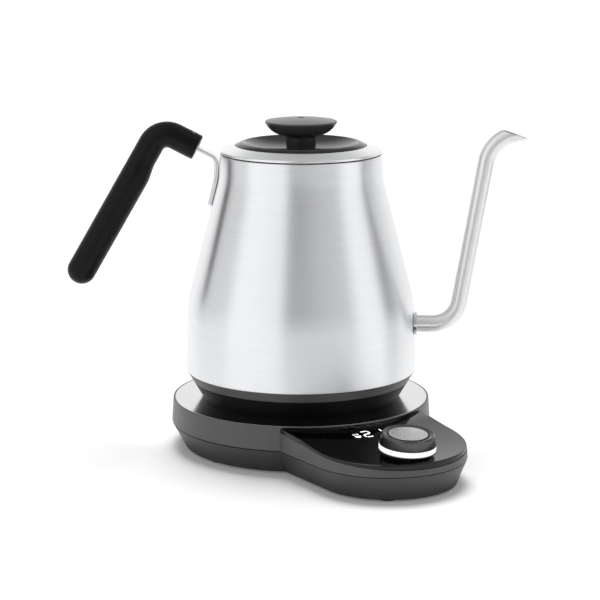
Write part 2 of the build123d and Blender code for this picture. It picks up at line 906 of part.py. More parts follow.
def mouth_collar():
    """Brushed ring round the mouth, sloping up to the lid, with a ledge and a throat."""
    ring = turned(
        (collar_radius, collar_bottom),
        (collar_radius, collar_bottom + collar_edge),
        (collar_mouth, collar_bottom + collar_rise),
        (collar_mouth, lid_seat),
        (collar_throat, lid_seat),
        (collar_throat, collar_bottom - collar_depth),
        (collar_throat + collar_wall, collar_bottom - collar_depth),
        (collar_throat + collar_wall, collar_bottom),
    )
    rim = ring.edges().filter_by(GeomType.CIRCLE).sort_by(lambda edge: edge.radius)[-2:]
    return fillet(rim.sort_by(Axis.Z)[-1], collar_edge / 2)


def lid_dish():
    """Dished lid plate with a broad rounded rim that rests on the collar's ledge."""
    outer = collar_mouth - slide_clearance
    inset = collar_throat - slide_clearance
    crest = (outer - lid_rim_width, 0, lid_top)
    brim_edge = (outer, 0, lid_seat + lid_edge_height)
    bowl = TangentArc((lid_floor_radius, 0, lid_floor), crest, tangent=(1, 0, 0))
    brim = TangentArc(crest, brim_edge, tangent=(1, 0, 0))
    edge = Polyline(
        brim_edge,
        (outer, 0, lid_seat),
        (inset, 0, lid_seat),
        (inset, 0, lid_bottom),
        (screw_radius + fixed_clearance, 0, lid_bottom),
        (screw_radius + fixed_clearance, 0, lid_floor),
        (lid_floor_radius, 0, lid_floor),
    )
    return revolve(make_face([bowl, brim, edge]), Axis.Z)


def lid_plug():
    """Steel cup under the lid plate that enters the throat."""
    outer = collar_throat - slide_clearance - seal_width
    low = lid_bottom - lid_plug_depth
    cup = rod(outer, low, lid_bottom) - rod(outer - lid_plug_wall, low, lid_bottom - lid_plug_wall)
    return cup - rod(screw_radius + fixed_clearance, low, lid_bottom)


def lid_seal():
    """Silicone ring round the lid's plug."""
    high = lid_bottom - seal_drop
    inner = collar_throat - slide_clearance - seal_width + touch_gap
    return tube(collar_throat - slide_clearance, inner, high - seal_height, high)


def lid_knob():
    """Mushroom knob on a stem: bowl-shaped underside, rounded rim, slightly domed top with a vent."""
    bowl_low = knob_bottom + knob_bowl_rise
    rim = knob_bottom + knob_rim_rise
    top = rim + knob_dome
    bowl = TangentArc((knob_stem, 0, bowl_low), (knob_radius, 0, rim), tangent=(1, 0, 0))
    shoulder = (knob_radius - knob_rim_round, 0, rim + knob_rim_round)
    lip = TangentArc((knob_radius, 0, rim), shoulder, tangent=(0, 0, 1))
    dome = TangentArc((0, 0, top), shoulder, tangent=(1, 0, 0))
    foot = (knob_stem, 0, knob_bottom)
    stem = Polyline((0, 0, top), (0, 0, knob_bottom), foot, (knob_stem, 0, bowl_low))
    knob = revolve(make_face([bowl, lip, dome, stem]), Axis.Z)
    knob -= rod(knob_vent_radius, top - knob_vent_depth, top)
    return knob - screw_hole(knob_bottom, knob_bottom + knob_bore_depth)


def lid_screw():
    """Screw from inside the lid up into the knob."""
    seat = lid_bottom - lid_plug_wall
    return screw(seat, knob_bottom + knob_bore_depth - touch_gap)


# Handle


def handle_points():
    """End face, corner and round lower end of the grip's centre line."""
    drop = radians(grip_end_drop)
    lean = radians(grip_lean)
    end = Vector(-grip_end_reach, 0, body_top + grip_end_rise)
    corner = end + Vector(-cos(drop), 0, sin(drop)) * grip_corner_run
    low = corner + Vector(-sin(lean), 0, -cos(lean)) * grip_run
    return end, corner, low


def bar_path():
    """Centre line of the flat bar: out of the grip, down at the body's neck and along the wall."""
    end, corner, low = handle_points()
    drop = radians(grip_end_drop)
    cone = (shoulder_radius - neck_radius) / (neck_rise - shoulder_rise)
    middle = bar_thickness / 2 / cos(atan(cone)) + touch_gap
    inward = Vector(cos(drop), 0, -sin(drop))
    tang = end - inward * bar_tang
    neck = -neck_radius - middle
    bend = end + inward * ((neck - end.X) / cos(drop))
    neck_z = body_bottom + neck_rise
    foot_z = body_top - bar_drop
    foot = Vector(neck - (neck_z - foot_z) * cone, 0, foot_z)
    hug = Vector(neck, 0, neck_z)
    return FilletPolyline(tang, bend, hug, foot, radius=[bar_bend, neck_round])


def handle_bracket():
    """Polished flat bar from inside the grip to its weld on the body."""
    path = bar_path()
    start = Plane(origin=path @ 0, x_dir=(0, 1, 0), z_dir=path % 0)
    bar = sweep(start * Rectangle(bar_width, bar_thickness), path=path)
    return bar - grip_screw_frame() * screw_hole(-grip_radius, grip_radius)


def grip_screw_frame():
    """Frame of the grip's screw on the bar's centre line, pointing down through it."""
    end, corner, low = handle_points()
    along = (corner - end).normalized()
    spot = end + along * grip_screw_place
    return Plane(origin=spot, x_dir=(0, 1, 0), z_dir=Vector(along.Z, 0, -along.X))


def handle_grip():
    """Soft grip: bent neck, thicker leaning run with a round end, slot for the bar and a screw pocket."""
    end, corner, low = handle_points()
    run = (low - corner).normalized()
    path = FilletPolyline(end, corner, low, radius=grip_bend)
    start = Plane(origin=path @ 0, z_dir=path % 0)
    grip = sweep(start * Circle(grip_neck_radius), path=path)
    towards_body = Vector(-run.Z, 0, run.X)
    blend = Plane(origin=corner + run * grip_neck_run + towards_body * grip_step, z_dir=run)
    grip += blend * Cone(grip_neck_radius, grip_radius, grip_blend, align=STANDING)
    thick = grip_run - grip_neck_run - grip_blend
    grip += blend * Pos(0, 0, grip_blend) * Cylinder(grip_radius, thick, align=STANDING)
    grip += Pos(*(low + towards_body * grip_step)) * Sphere(grip_radius)
    inward = (end - corner).normalized()
    slot = Plane(origin=end, x_dir=(0, 1, 0), z_dir=-inward)
    width = bar_width + 2 * fixed_clearance
    thickness = bar_thickness + 2 * fixed_clearance
    grip -= slot * Box(width, thickness, bar_tang + fixed_clearance, align=STANDING)
    return grip - grip_screw_frame() * grip_screw_space()


def grip_screw_seat():
    """Depth of the grip screw's seat along its own axis, which starts on the bar's centre line."""
    return -bar_thickness / 2 - grip_screw_depth


def grip_screw_space():
    """Pocket for the grip screw's head and thread above the bar."""
    seat = grip_screw_seat()
    head = rod(grip_screw_head + fixed_clearance, -2 * grip_radius, seat)
    return head + rod(screw_radius + fixed_clearance, seat, 0)


def grip_screw():
    """Screw through the top of the grip into the bar's tang."""
    return grip_screw_frame() * screw(grip_screw_seat(), bar_thickness / 2, head_radius=grip_screw_head)


pieces = {
    "base_upper_shell": base_upper_shell(),
    "base_lower_shell": base_lower_shell(),
    "base_feet": base_feet(),
    "base_top_plate": base_top_plate(),
    "control_panel": control_panel(),
    "light_ring": light_ring(),
    "display_module": display_module(),
    "control_board": control_board(),
    "board_screws": board_screws(),
    "power_board": power_board(),
    "power_board_screws": power_board_screws(),
    "board_lead": board_lead(),
    "case_screws": case_screws(),
    "cord_gland": cord_gland(),
    "base_socket": base_socket(),
    "socket_contacts": socket_contacts(),
    "encoder_body": encoder_body(),
    "encoder_rotor": encoder_rotor(),
    "encoder_shaft": encoder_shaft(),
    "dial_knob": dial_knob(),
    "dial_cap": dial_cap(),
    "kettle_plug": kettle_plug(),
    "plug_contacts": plug_contacts(),
    "plug_core": plug_core(),
    "plug_screws": plug_screws(),
    "body_shell": body_shell(),
    "floor_pan": floor_pan(),
    "heat_spreader": heat_spreader(),
    "heating_element": heating_element(),
    "temperature_probe": temperature_probe(),
    "thermal_cutout": thermal_cutout(),
    "foot_studs": foot_studs(),
    "foot_screws": foot_screws(),
    "skirt_ring": skirt_ring(),
    "skirt_foot": skirt_foot(),
    "spout_tube": spout_tube(),
    "spout_flange": spout_flange(),
    "collar_gasket": collar_gasket(),
    "mouth_collar": mouth_collar(),
    "lid_dish": lid_dish(),
    "lid_plug": lid_plug(),
    "lid_seal": lid_seal(),
    "lid_knob": lid_knob(),
    "lid_screw": lid_screw(),
    "handle_bracket": handle_bracket(),
    "handle_grip": handle_grip(),
    "grip_screw": grip_screw(),
}

# The part's origin is under the middle of its box, on the table
box = group(pieces.values()).bounding_box()
to_origin = Pos(-box.center().X, -box.center().Y, -box.min.Z)

os.makedirs("parts", exist_ok=True)
for name, piece in pieces.items():
    export_step(to_origin * piece, "parts/" + name + ".step")
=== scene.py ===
import json
import logging
import math
from dataclasses import dataclass, field
from enum import Enum
from typing import Iterable, Sequence

import bmesh
import bpy
import numpy as np
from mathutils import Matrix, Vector


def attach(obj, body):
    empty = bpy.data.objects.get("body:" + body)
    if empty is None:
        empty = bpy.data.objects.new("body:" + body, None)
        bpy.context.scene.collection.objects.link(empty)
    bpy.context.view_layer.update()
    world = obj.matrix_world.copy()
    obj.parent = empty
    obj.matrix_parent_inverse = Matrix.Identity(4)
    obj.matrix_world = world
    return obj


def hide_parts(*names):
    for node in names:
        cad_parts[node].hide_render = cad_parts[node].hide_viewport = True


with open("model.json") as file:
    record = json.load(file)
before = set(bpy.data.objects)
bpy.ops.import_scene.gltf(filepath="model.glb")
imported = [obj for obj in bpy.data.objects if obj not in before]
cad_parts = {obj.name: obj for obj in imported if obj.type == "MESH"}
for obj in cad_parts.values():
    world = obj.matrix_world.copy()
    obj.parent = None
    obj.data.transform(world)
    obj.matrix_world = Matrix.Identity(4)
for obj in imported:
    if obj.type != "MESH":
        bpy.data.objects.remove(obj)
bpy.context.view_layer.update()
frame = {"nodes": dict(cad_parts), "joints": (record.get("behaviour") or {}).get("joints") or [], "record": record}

# Sizes are millimetres and angles degrees, except where a comment or docstring says metres.

log = logging.getLogger("kettle")

Array = np.ndarray
Point = tuple[float, float]
Corner = tuple[float, float, float]
Colour = tuple[float, float, float]

MM = 0.001
SAME_SPOT = 1e-6
MERGE_METRES = 1e-7
LEG_INSET = 0.2
QUARTER = math.pi / 2
WHITE = (1.0, 1.0, 1.0, 1.0)
UNLIT = (0.0, 0.0, 0.0, 1.0)


# Places and surfaces


@dataclass(frozen=True)
class Place:
    """A frame in the row: an origin in metres and three unit axes as the rows of a matrix."""

    origin: Array
    axes: Array

    def row(self, points: Array) -> Array:
        """Points of this frame, as metres of the row."""
        return self.origin + MM * points @ self.axes


@dataclass
class Sheet:
    """A grid of points: rows run along a profile, columns run round it."""

    points: Array
    ring: bool = True
    loop: bool = False

    def quads(self) -> Array:
        """Corner numbers of the grid's quads, row by row.

        Returns:
            Four point numbers for each quad.
        """
        rows, columns = self.points.shape[:2]
        down = np.arange(rows if self.loop else rows - 1)[:, None]
        across = np.arange(columns if self.ring else columns - 1)[None, :]
        low, high = down * columns, (down + 1) % rows * columns
        left, right = across, (across + 1) % columns
        return np.stack([low + left, low + right, high + right, high + left], -1).reshape(-1, 4)

    def lengths(self) -> Array:
        """UV of each quad corner: length along the profile, then the share of the way round.

        Returns:
            One pair for each corner of each quad, in the order of quads().
        """
        columns = self.points.shape[1]
        middle = self.points[:, columns // 2]
        nexts = np.roll(middle, -1, axis=0) if self.loop else middle[1:]
        steps = np.linalg.norm(nexts - middle[: len(nexts)], axis=1)
        along = np.concatenate([[0.0], np.cumsum(steps)])
        last = columns if self.ring else columns - 1
        low = np.repeat(along[:-1, None], last, 1)
        high = np.repeat(along[1:, None], last, 1)
        left = np.repeat(np.arange(last)[None, :] / last, len(along) - 1, 0)
        right = left + 1.0 / last
        corners = [(low, left), (low, right), (high, right), (high, left)]
        return np.stack([np.stack(corner, -1) for corner in corners], 2).reshape(-1, 2)


def unit(vector: Array) -> Array:
    """The vector at length one."""
    return vector / np.linalg.norm(vector)


def smooth(value: Array) -> Array:
    """Soft step from 0 to 1: 3 t^2 - 2 t^3 of the clipped value."""
    share = np.clip(value, 0, 1)
    return share * share * (3 - 2 * share)


def rounded(corners: Sequence[Corner], steps: int = 6, closed: bool = False) -> Array:
    """Outline whose corners are arcs tangent to both of their legs.

    An arc of radius r in a corner with half angle h starts r / tan(h) away from the corner, and
    its centre lies r / sin(h) along the corner's bisector. Each leg gets a point close to either
    end, so that smooth shading stays inside the arcs.

    Args:
        corners: x, y and radius of each corner.
        steps: Number of straight steps in one arc.
        closed: True if the last corner joins the first.

    Returns:
        The outline's points.
    """
    spots = np.array(corners, float)
    count = len(spots)
    arcs = []
    for index, (x, y, radius) in enumerate(spots):
        here = np.array([x, y])
        ends = not closed and index in (0, count - 1)
        if ends or radius <= 0:
            arcs.append(here[None, :])
            continue
        back = unit(spots[index - 1, :2] - here)
        ahead = unit(spots[(index + 1) % count, :2] - here)
        half = math.acos(np.clip(back @ ahead, -1, 1)) / 2
        centre = here + unit(back + ahead) * radius / math.sin(half)
        first = here + back * radius / math.tan(half) - centre
        turn = math.pi - 2 * half
        side = np.sign(back[0] * ahead[1] - back[1] * ahead[0])
        angle = -side * np.linspace(0, turn, steps + 1)
        cos, sin = np.cos(angle), np.sin(angle)
        arc = np.stack([first[0] * cos - first[1] * sin, first[0] * sin + first[1] * cos], 1)
        arcs.append(centre + arc)
    runs = []
    for index, arc in enumerate(arcs):
        runs.append(arc)
        if index + 1 < count or closed:
            leg = arcs[(index + 1) % count][0] - arc[-1]
            length = np.linalg.norm(leg)
            if length > SAME_SPOT:
                near = LEG_INSET * min(1.0, length) / length
                runs.append(arc[-1] + np.array([near, 1 - near])[:, None] * leg)
    return np.concatenate(runs)


def tangent_arc(start: Sequence[float], end: Sequence[float], steps: int) -> Array:
    """Arc that leaves its start level and bends up or down to its end.

    The circle's centre stands above or below the start, at the radius (dx^2 + dy^2) / (2 dy).

    Args:
        start: First point, where the arc is level.
        end: Last point.
        steps: Number of straight steps.

    Returns:
        The arc's points.
    """
    across, up = end[0] - start[0], end[1] - start[1]
    radius = (across**2 + up**2) / (2 * up)
    level = radius - up if radius > 0 else up - radius
    angle = np.linspace(0, math.atan2(across, level), steps + 1)
    x = start[0] + abs(radius) * np.sin(angle)
    return np.stack([x, start[1] + radius * (1 - np.cos(angle))], 1)


def turned(profile: Array, columns: int, loop: bool = False) -> Sheet:
    """Surface of revolution: point (r, z) of the profile goes to (r cos a, r sin a, z).

    Args:
        profile: Points (radius, height).
        columns: Number of steps round the axis.
        loop: True if the profile closes on itself.

    Returns:
        The surface, whose seam is at the back.
    """
    angle = QUARTER + np.linspace(0, 2 * math.pi, columns, endpoint=False)
    radius = profile[:, :1]
    height = np.broadcast_to(profile[:, 1:], (len(profile), columns))
    return Sheet(np.stack([radius * np.cos(angle), radius * np.sin(angle), height], -1), loop=loop)


def lathed(corners: Sequence[Corner], steps: int, columns: int, closed: bool = True) -> Sheet:
    """Surface turned from an outline whose corners are radius, height and rounding."""
    return turned(rounded(corners, steps, closed), columns, closed)


@dataclass
class Track:
    """A line in the upright plane through spout and handle, measured by its length."""

    points: Array
    look: float = 0.05

    def __post_init__(self) -> None:
        """Adds the length up to each point."""
        steps = np.linalg.norm(np.diff(self.points, axis=0), axis=1)
        self.length = np.concatenate([[0.0], np.cumsum(steps)])

    def at(self, place: Array) -> Array:
        """Points (x, z) at given lengths."""
        axes = [np.interp(place, self.length, self.points[:, axis]) for axis in (0, 1)]
        return np.stack(axes, -1)

    def heading(self, place: Array) -> Array:
        """Direction of the line, taken over a short look to either side.

        Args:
            place: Lengths along the line.

        Returns:
            A unit direction (x, z) at each length.
        """
        low = np.clip(place - self.look, 0, self.length[-1])
        high = np.clip(place + self.look, 0, self.length[-1])
        way = self.at(high) - self.at(low)
        return way / np.linalg.norm(way, axis=-1, keepdims=True)


def swept(track: Track, place: Array, across: Array, beside: Array) -> Array:
    """Profile carried along a track: P = track(s) + across * normal(s) + beside * Y.

    Args:
        track: The centre line.
        place: Length s of each grid point along the track.
        across: Distance of each grid point from the line, in the line's own plane.
        beside: Distance of each grid point out of that plane.

    Returns:
        Grid of points.
    """
    spot, way = track.at(place), track.heading(place)
    x = spot[..., 0] - across * way[..., 1]
    z = spot[..., 1] + across * way[..., 0]
    return np.stack([x, np.broadcast_to(beside, x.shape), z], -1)


# Finishes


class Grain(Enum):
    """How a finish is marked: the squeeze of its noise along x, y and z."""

    FINE = (1.0, 1.0, 1.0)
    ROUND = (0.015, 0.015, 1.0)
    DRAWN = (1.0, 1.0, 0.2)
    ACROSS = (1.0, 0.06, 1.0)


class Nodes:
    """Short way to fill the node tree of a material or a world."""

    def __init__(self, owner: bpy.types.Material | bpy.types.World) -> None:
        """Empties the owner's node tree.

        Args:
            owner: Material or world that is filled.
        """
        owner.use_nodes = True
        self.tree = owner.node_tree
        self.tree.nodes.clear()

    def add(self, kind: str, **values: object) -> bpy.types.Node:
        """Adds a node and sets its attributes or, for names of inputs, their values.

        Args:
            kind: The node's type.
            values: Attribute or input values; an underscore in an input's name stands for a space.

        Returns:
            The new node.
        """
        node = self.tree.nodes.new(kind)
        for key, value in values.items():
            if hasattr(node, key):
                setattr(node, key, value)
            else:
                node.inputs[key.replace("_", " ")].default_value = value
        return node

    def join(self, source: bpy.types.NodeSocket, target: bpy.types.NodeSocket) -> None:
        """Links an output to an input."""
        self.tree.links.new(source, target)

    def finish(self, shader: bpy.types.Node, kind: str = "ShaderNodeOutputMaterial") -> None:
        """Sends a shader to the surface."""
        self.join(shader.outputs[0], self.tree.nodes.new(kind).inputs["Surface"])


class Surface:
    """What all finishes share: a name, and a material that is made once and then shared."""

    name: str
    made: dict[str, bpy.types.Material] = {}

    def material(self) -> bpy.types.Material:
        """The finish's material.

        Returns:
            The material, which is new at the first call only.
        """
        if self.name not in Surface.made:
            Surface.made[self.name] = bpy.data.materials.new(self.name)
            self.fill(Nodes(Surface.made[self.name]))
        return Surface.made[self.name]

    def fill(self, nodes: Nodes) -> None:
        """Builds the node tree; each kind of finish has its own way."""
        raise NotImplementedError


@dataclass(frozen=True)
class Finish(Surface):
    """A procedural surface: colour and roughness drift with noise, and a relief catches light.

    Attributes:
        name: The material's name.
        colour: Middle of the base colour.
        roughness: Middle of the roughness.
        metal: 1 for bare metal, 0 for everything else.
        grain: Squeeze of the noise.
        scale: Fineness of the noise, for metres.
        tint: Share by which the colour drifts.
        drift: How far the roughness drifts.
        relief: Strength of the relief.
        streak: How far mirror images are drawn out along the profile.
        gloss: Strength of mirror images on what isn't metal.
        glow: Strength of its own light.
        fade: Lengths along the profile where a glow starts, is full, starts to fall and ends.
        noise_low: Noise at and under which colour and roughness are at their low end.
        noise_high: Noise at and over which they are at their high end.
        relief_metres: Height of the relief, in metres.
        smoothest: Least roughness.
    """

    name: str
    colour: Colour
    roughness: float
    metal: float = 0.0
    grain: Grain = Grain.FINE
    scale: float = 400.0
    tint: float = 0.06
    drift: float = 0.05
    relief: float = 0.02
    streak: float = 0.0
    gloss: float = 0.5
    glow: float = 0.0
    fade: tuple[float, float, float, float] | None = None
    noise_low: float = 0.3
    noise_high: float = 0.7
    relief_metres: float = 0.0002
    smoothest: float = 0.01

    def fill(self, nodes: Nodes) -> None:
        """Builds the node tree.

        Noise in object coordinates, squeezed by the grain, moves the colour by tint and the
        roughness by drift, and lifts the surface by relief.

        Args:
            nodes: The material's nodes.
        """
        place = nodes.add("ShaderNodeTexCoord")
        mapping = nodes.add("ShaderNodeMapping", Scale=self.grain.value)
        nodes.join(place.outputs["Object"], mapping.inputs["Vector"])
        noise = nodes.add("ShaderNodeTexNoise", Scale=self.scale, Detail=3.0, Roughness=0.6)
        nodes.join(mapping.outputs[0], noise.inputs["Vector"])
        shader = nodes.add(
            "ShaderNodeBsdfPrincipled",
            Metallic=self.metal,
            Specular_IOR_Level=self.gloss,
            Anisotropic=self.streak,
        )
        ramp = nodes.add("ShaderNodeValToRGB")
        stops = ((self.noise_low, 1 - self.tint), (self.noise_high, 1 + self.tint))
        for element, (position, share) in zip(ramp.color_ramp.elements, stops):
            element.color = (*[min(1.0, channel * share) for channel in self.colour], 1.0)
            element.position = position
        nodes.join(noise.outputs["Fac"], ramp.inputs["Fac"])
        nodes.join(ramp.outputs["Color"], shader.inputs["Base Color"])
        rough = nodes.add(
            "ShaderNodeMapRange",
            From_Min=self.noise_low,
            From_Max=self.noise_high,
            To_Min=max(self.smoothest, self.roughness - self.drift),
            To_Max=self.roughness + self.drift,
        )
        nodes.join(noise.outputs["Fac"], rough.inputs["Value"])
        nodes.join(rough.outputs["Result"], shader.inputs["Roughness"])
        bump = nodes.add("ShaderNodeBump", Strength=self.relief, Distance=self.relief_metres)
        nodes.join(noise.outputs["Fac"], bump.inputs["Height"])
        nodes.join(bump.outputs["Normal"], shader.inputs["Normal"])
        if self.streak:
            tangent = nodes.add("ShaderNodeTangent", direction_type="UV_MAP", uv_map="grain")
            nodes.join(tangent.outputs["Tangent"], shader.inputs["Tangent"])
        if self.glow:
            shader.inputs["Emission Strength"].default_value = self.glow
            nodes.join(ramp.outputs["Color"], shader.inputs["Emission Color"])
        if self.fade:
            self.dim(nodes, ramp, shader)
        nodes.finish(shader)

    def dim(self, nodes: Nodes, ramp: bpy.types.Node, shader: bpy.types.Node) -> None:
        """Lets colour and glow rise from black along the profile and fall back again.

        Args:
            nodes: The material's nodes.
            ramp: Node that gives the full colour.
            shader: Node that takes it.
        """
        start, full, falling, end = self.fade
        place = nodes.add("ShaderNodeUVMap", uv_map="grain")
        split = nodes.add("ShaderNodeSeparateXYZ")
        nodes.join(place.outputs["UV"], split.inputs["Vector"])
        both = nodes.add("ShaderNodeMath", operation="MULTIPLY")
        for index, (dark, lit) in enumerate(((start, full), (end, falling))):
            slope = nodes.add(
                "ShaderNodeMapRange", interpolation_type="SMOOTHSTEP", From_Min=dark, From_Max=lit
            )
            nodes.join(split.outputs["X"], slope.inputs["Value"])
            nodes.join(slope.outputs["Result"], both.inputs[index])
        mix = nodes.add("ShaderNodeMix", data_type="RGBA")
        mix.inputs["A"].default_value = UNLIT
        nodes.join(both.outputs["Value"], mix.inputs["Factor"])
        nodes.join(ramp.outputs["Color"], mix.inputs["B"])
        nodes.join(mix.outputs["Result"], shader.inputs["Base Color"])
        nodes.join(mix.outputs["Result"], shader.inputs["Emission Color"])


@dataclass(frozen=True)
class FloorFinish(Surface):
    """Matt pale floor, lifted towards white for the camera alone."""

    name: str = "floor_white"
    greys: tuple[float, float] = (0.93, 0.95)
    scale: float = 3.0
    lift: float = 0.12

    def fill(self, nodes: Nodes) -> None:
        """Builds the node tree: a diffuse grey that drifts with noise, and the lift.

        Args:
            nodes: The material's nodes.
        """
        place = nodes.add("ShaderNodeTexCoord")
        noise = nodes.add("ShaderNodeTexNoise", Scale=self.scale)
        nodes.join(place.outputs["Object"], noise.inputs["Vector"])
        ramp = nodes.add("ShaderNodeValToRGB")
        for element, grey in zip(ramp.color_ramp.elements, self.greys):
            element.color = (grey, grey, grey, 1.0)
        nodes.join(noise.outputs["Fac"], ramp.inputs["Fac"])
        plain = nodes.add("ShaderNodeBsdfDiffuse")
        nodes.join(ramp.outputs["Color"], plain.inputs["Color"])
        path = nodes.add("ShaderNodeLightPath")
        none = nodes.add("ShaderNodeEmission", Strength=0.0)
        lift = nodes.add("ShaderNodeEmission", Strength=self.lift)
        seen = nodes.add("ShaderNodeMixShader")
        nodes.join(path.outputs["Is Camera Ray"], seen.inputs[0])
        nodes.join(none.outputs[0], seen.inputs[1])
        nodes.join(lift.outputs[0], seen.inputs[2])
        both = nodes.add("ShaderNodeAddShader")
        nodes.join(plain.outputs[0], both.inputs[0])
        nodes.join(seen.outputs[0], both.inputs[1])
        nodes.finish(both)


@dataclass(frozen=True)
class TentFinish(Surface):
    """Cloth that glows in the grey that its own points hold."""

    name: str = "tent"
    layer: str = "shade"

    def fill(self, nodes: Nodes) -> None:
        """Builds the node tree.

        Args:
            nodes: The material's nodes.
        """
        cloth = nodes.add("ShaderNodeAttribute", attribute_name=self.layer)
        glow = nodes.add("ShaderNodeEmission", Strength=1.0)
        nodes.join(cloth.outputs["Color"], glow.inputs["Color"])
        nodes.finish(glow)


BRUSHED = Finish(
    "brushed_steel", (0.9, 0.91, 0.925), 0.33, metal=1.0, grain=Grain.ROUND, scale=1800.0,
    tint=0.03, drift=0.03, relief=0.004, streak=0.82,
)
COLLAR = Finish(
    "collar_steel", (0.9, 0.91, 0.92), 0.28, metal=1.0, grain=Grain.ROUND, scale=1800.0,
    tint=0.03, drift=0.02, relief=0.004, streak=0.7,
)
POLISHED = Finish(
    "polished_steel", (0.86, 0.87, 0.885), 0.22, metal=1.0, grain=Grain.DRAWN, scale=900.0,
    tint=0.03, drift=0.03, relief=0.02,
)
SPOUT = Finish(
    "spout_steel", (0.88, 0.885, 0.895), 0.34, metal=1.0, grain=Grain.DRAWN, scale=900.0,
    tint=0.03, drift=0.03, relief=0.006, streak=0.9,
)
BAR = Finish(
    "bar_steel", (0.86, 0.865, 0.875), 0.24, metal=1.0, scale=900.0,
    tint=0.02, drift=0.02, relief=0.004, streak=0.9,
)
PLATE = Finish(
    "plate_mirror", (0.74, 0.74, 0.745), 0.14, metal=1.0, scale=300.0,
    tint=0.02, drift=0.03, relief=0.004,
)
CAP = Finish(
    "cap_brushed", (0.62, 0.62, 0.625), 0.3, metal=1.0, grain=Grain.ACROSS, scale=1600.0,
    tint=0.06, drift=0.04, relief=0.006,
)
DIAL = Finish(
    "dial_satin", (0.115, 0.115, 0.117), 0.28, metal=1.0, scale=1800.0, relief=0.006
)
CHARCOAL = Finish(
    "charcoal_shell", (0.056, 0.055, 0.057), 0.36, scale=1500.0, relief=0.02, gloss=0.9
)
DARK_TRAY = Finish(
    "charcoal_tray", (0.052, 0.052, 0.054), 0.42, scale=1500.0, relief=0.02, gloss=0.7
)
SKIRT = Finish("skirt_satin", (0.06, 0.06, 0.062), 0.34, scale=1500.0, relief=0.02, gloss=0.9)
FOOT = Finish(
    "foot_black", (0.002, 0.002, 0.0025), 0.4, scale=900.0, drift=0.02, relief=0.004, gloss=0.1
)
PANEL = Finish(
    "panel_gloss", (0.0015, 0.0015, 0.002), 0.05, scale=300.0,
    drift=0.01, relief=0.001, gloss=0.42,
)
GLOSS = Finish(
    "gloss_black", (0.0015, 0.0015, 0.002), 0.05, scale=60.0, tint=0.2, drift=0.015, relief=0.002
)
KNOB = Finish("knob_satin", (0.05, 0.05, 0.0505), 0.26, scale=2500.0, drift=0.02, relief=0.004)
LID = Finish(
    "lid_satin", (0.009, 0.009, 0.0095), 0.13, scale=1500.0, drift=0.02, relief=0.002, gloss=0.35
)
GRIP = Finish("grip_soft", (0.0035, 0.0035, 0.0037), 0.33, scale=1800.0, relief=0.01, gloss=0.18)
GLOW = Finish(
    "ring_glow", (0.3, 0.3, 0.3), 0.4, scale=300.0, tint=0.02, glow=3.1, fade=(1.6, 2.4, 4.95, 5.25)
)
DIGIT = Finish("digit_glow", (1.0, 1.0, 1.0), 0.4, scale=300.0, tint=0.02, glow=1.2)
RUBBER = Finish("foot_rubber", (0.02, 0.02, 0.02), 0.7, scale=900.0, relief=0.1, gloss=0.3)
BLACK = Finish("black_moulding", (0.02, 0.02, 0.021), 0.5, scale=1000.0, relief=0.05)
BARE_STEEL = Finish("bare_steel", (0.55, 0.55, 0.55), 0.32, metal=1.0, scale=700.0)
BRASS = Finish("contact_brass", (0.72, 0.52, 0.24), 0.25, metal=1.0, scale=800.0)
BOARD = Finish("circuit_board", (0.015, 0.1, 0.05), 0.4, scale=250.0, tint=0.5)
ALLOY = Finish("plain_alloy", (0.68, 0.68, 0.69), 0.38, metal=1.0, scale=600.0)
FLOOR = FloorFinish()
TENT = TentFinish()

# Finish of each material slot of the record, for CAD nodes that are shown as they are, and of the
# nodes that have a finish of their own.
SLOTS = {
    "charcoal_shell": CHARCOAL,
    "gloss_black": GLOSS,
    "knob_grey": KNOB,
    "foot_rubber": RUBBER,
    "light": GLOW,
    "display": GLOSS,
    "board": BOARD,
    "lead": RUBBER,
    "fasteners": BARE_STEEL,
    "black_moulding": BLACK,
    "contact_brass": BRASS,
    "cap_metal": CAP,
    "brushed_steel": BARE_STEEL,
    "polished_steel": POLISHED,
    "element_steel": BARE_STEEL,
    "spreader": ALLOY,
    "gasket": RUBBER,
    "grip": GRIP,
}
OWN_FINISH = {"base_lower_shell": DARK_TRAY, "skirt_foot": FOOT}


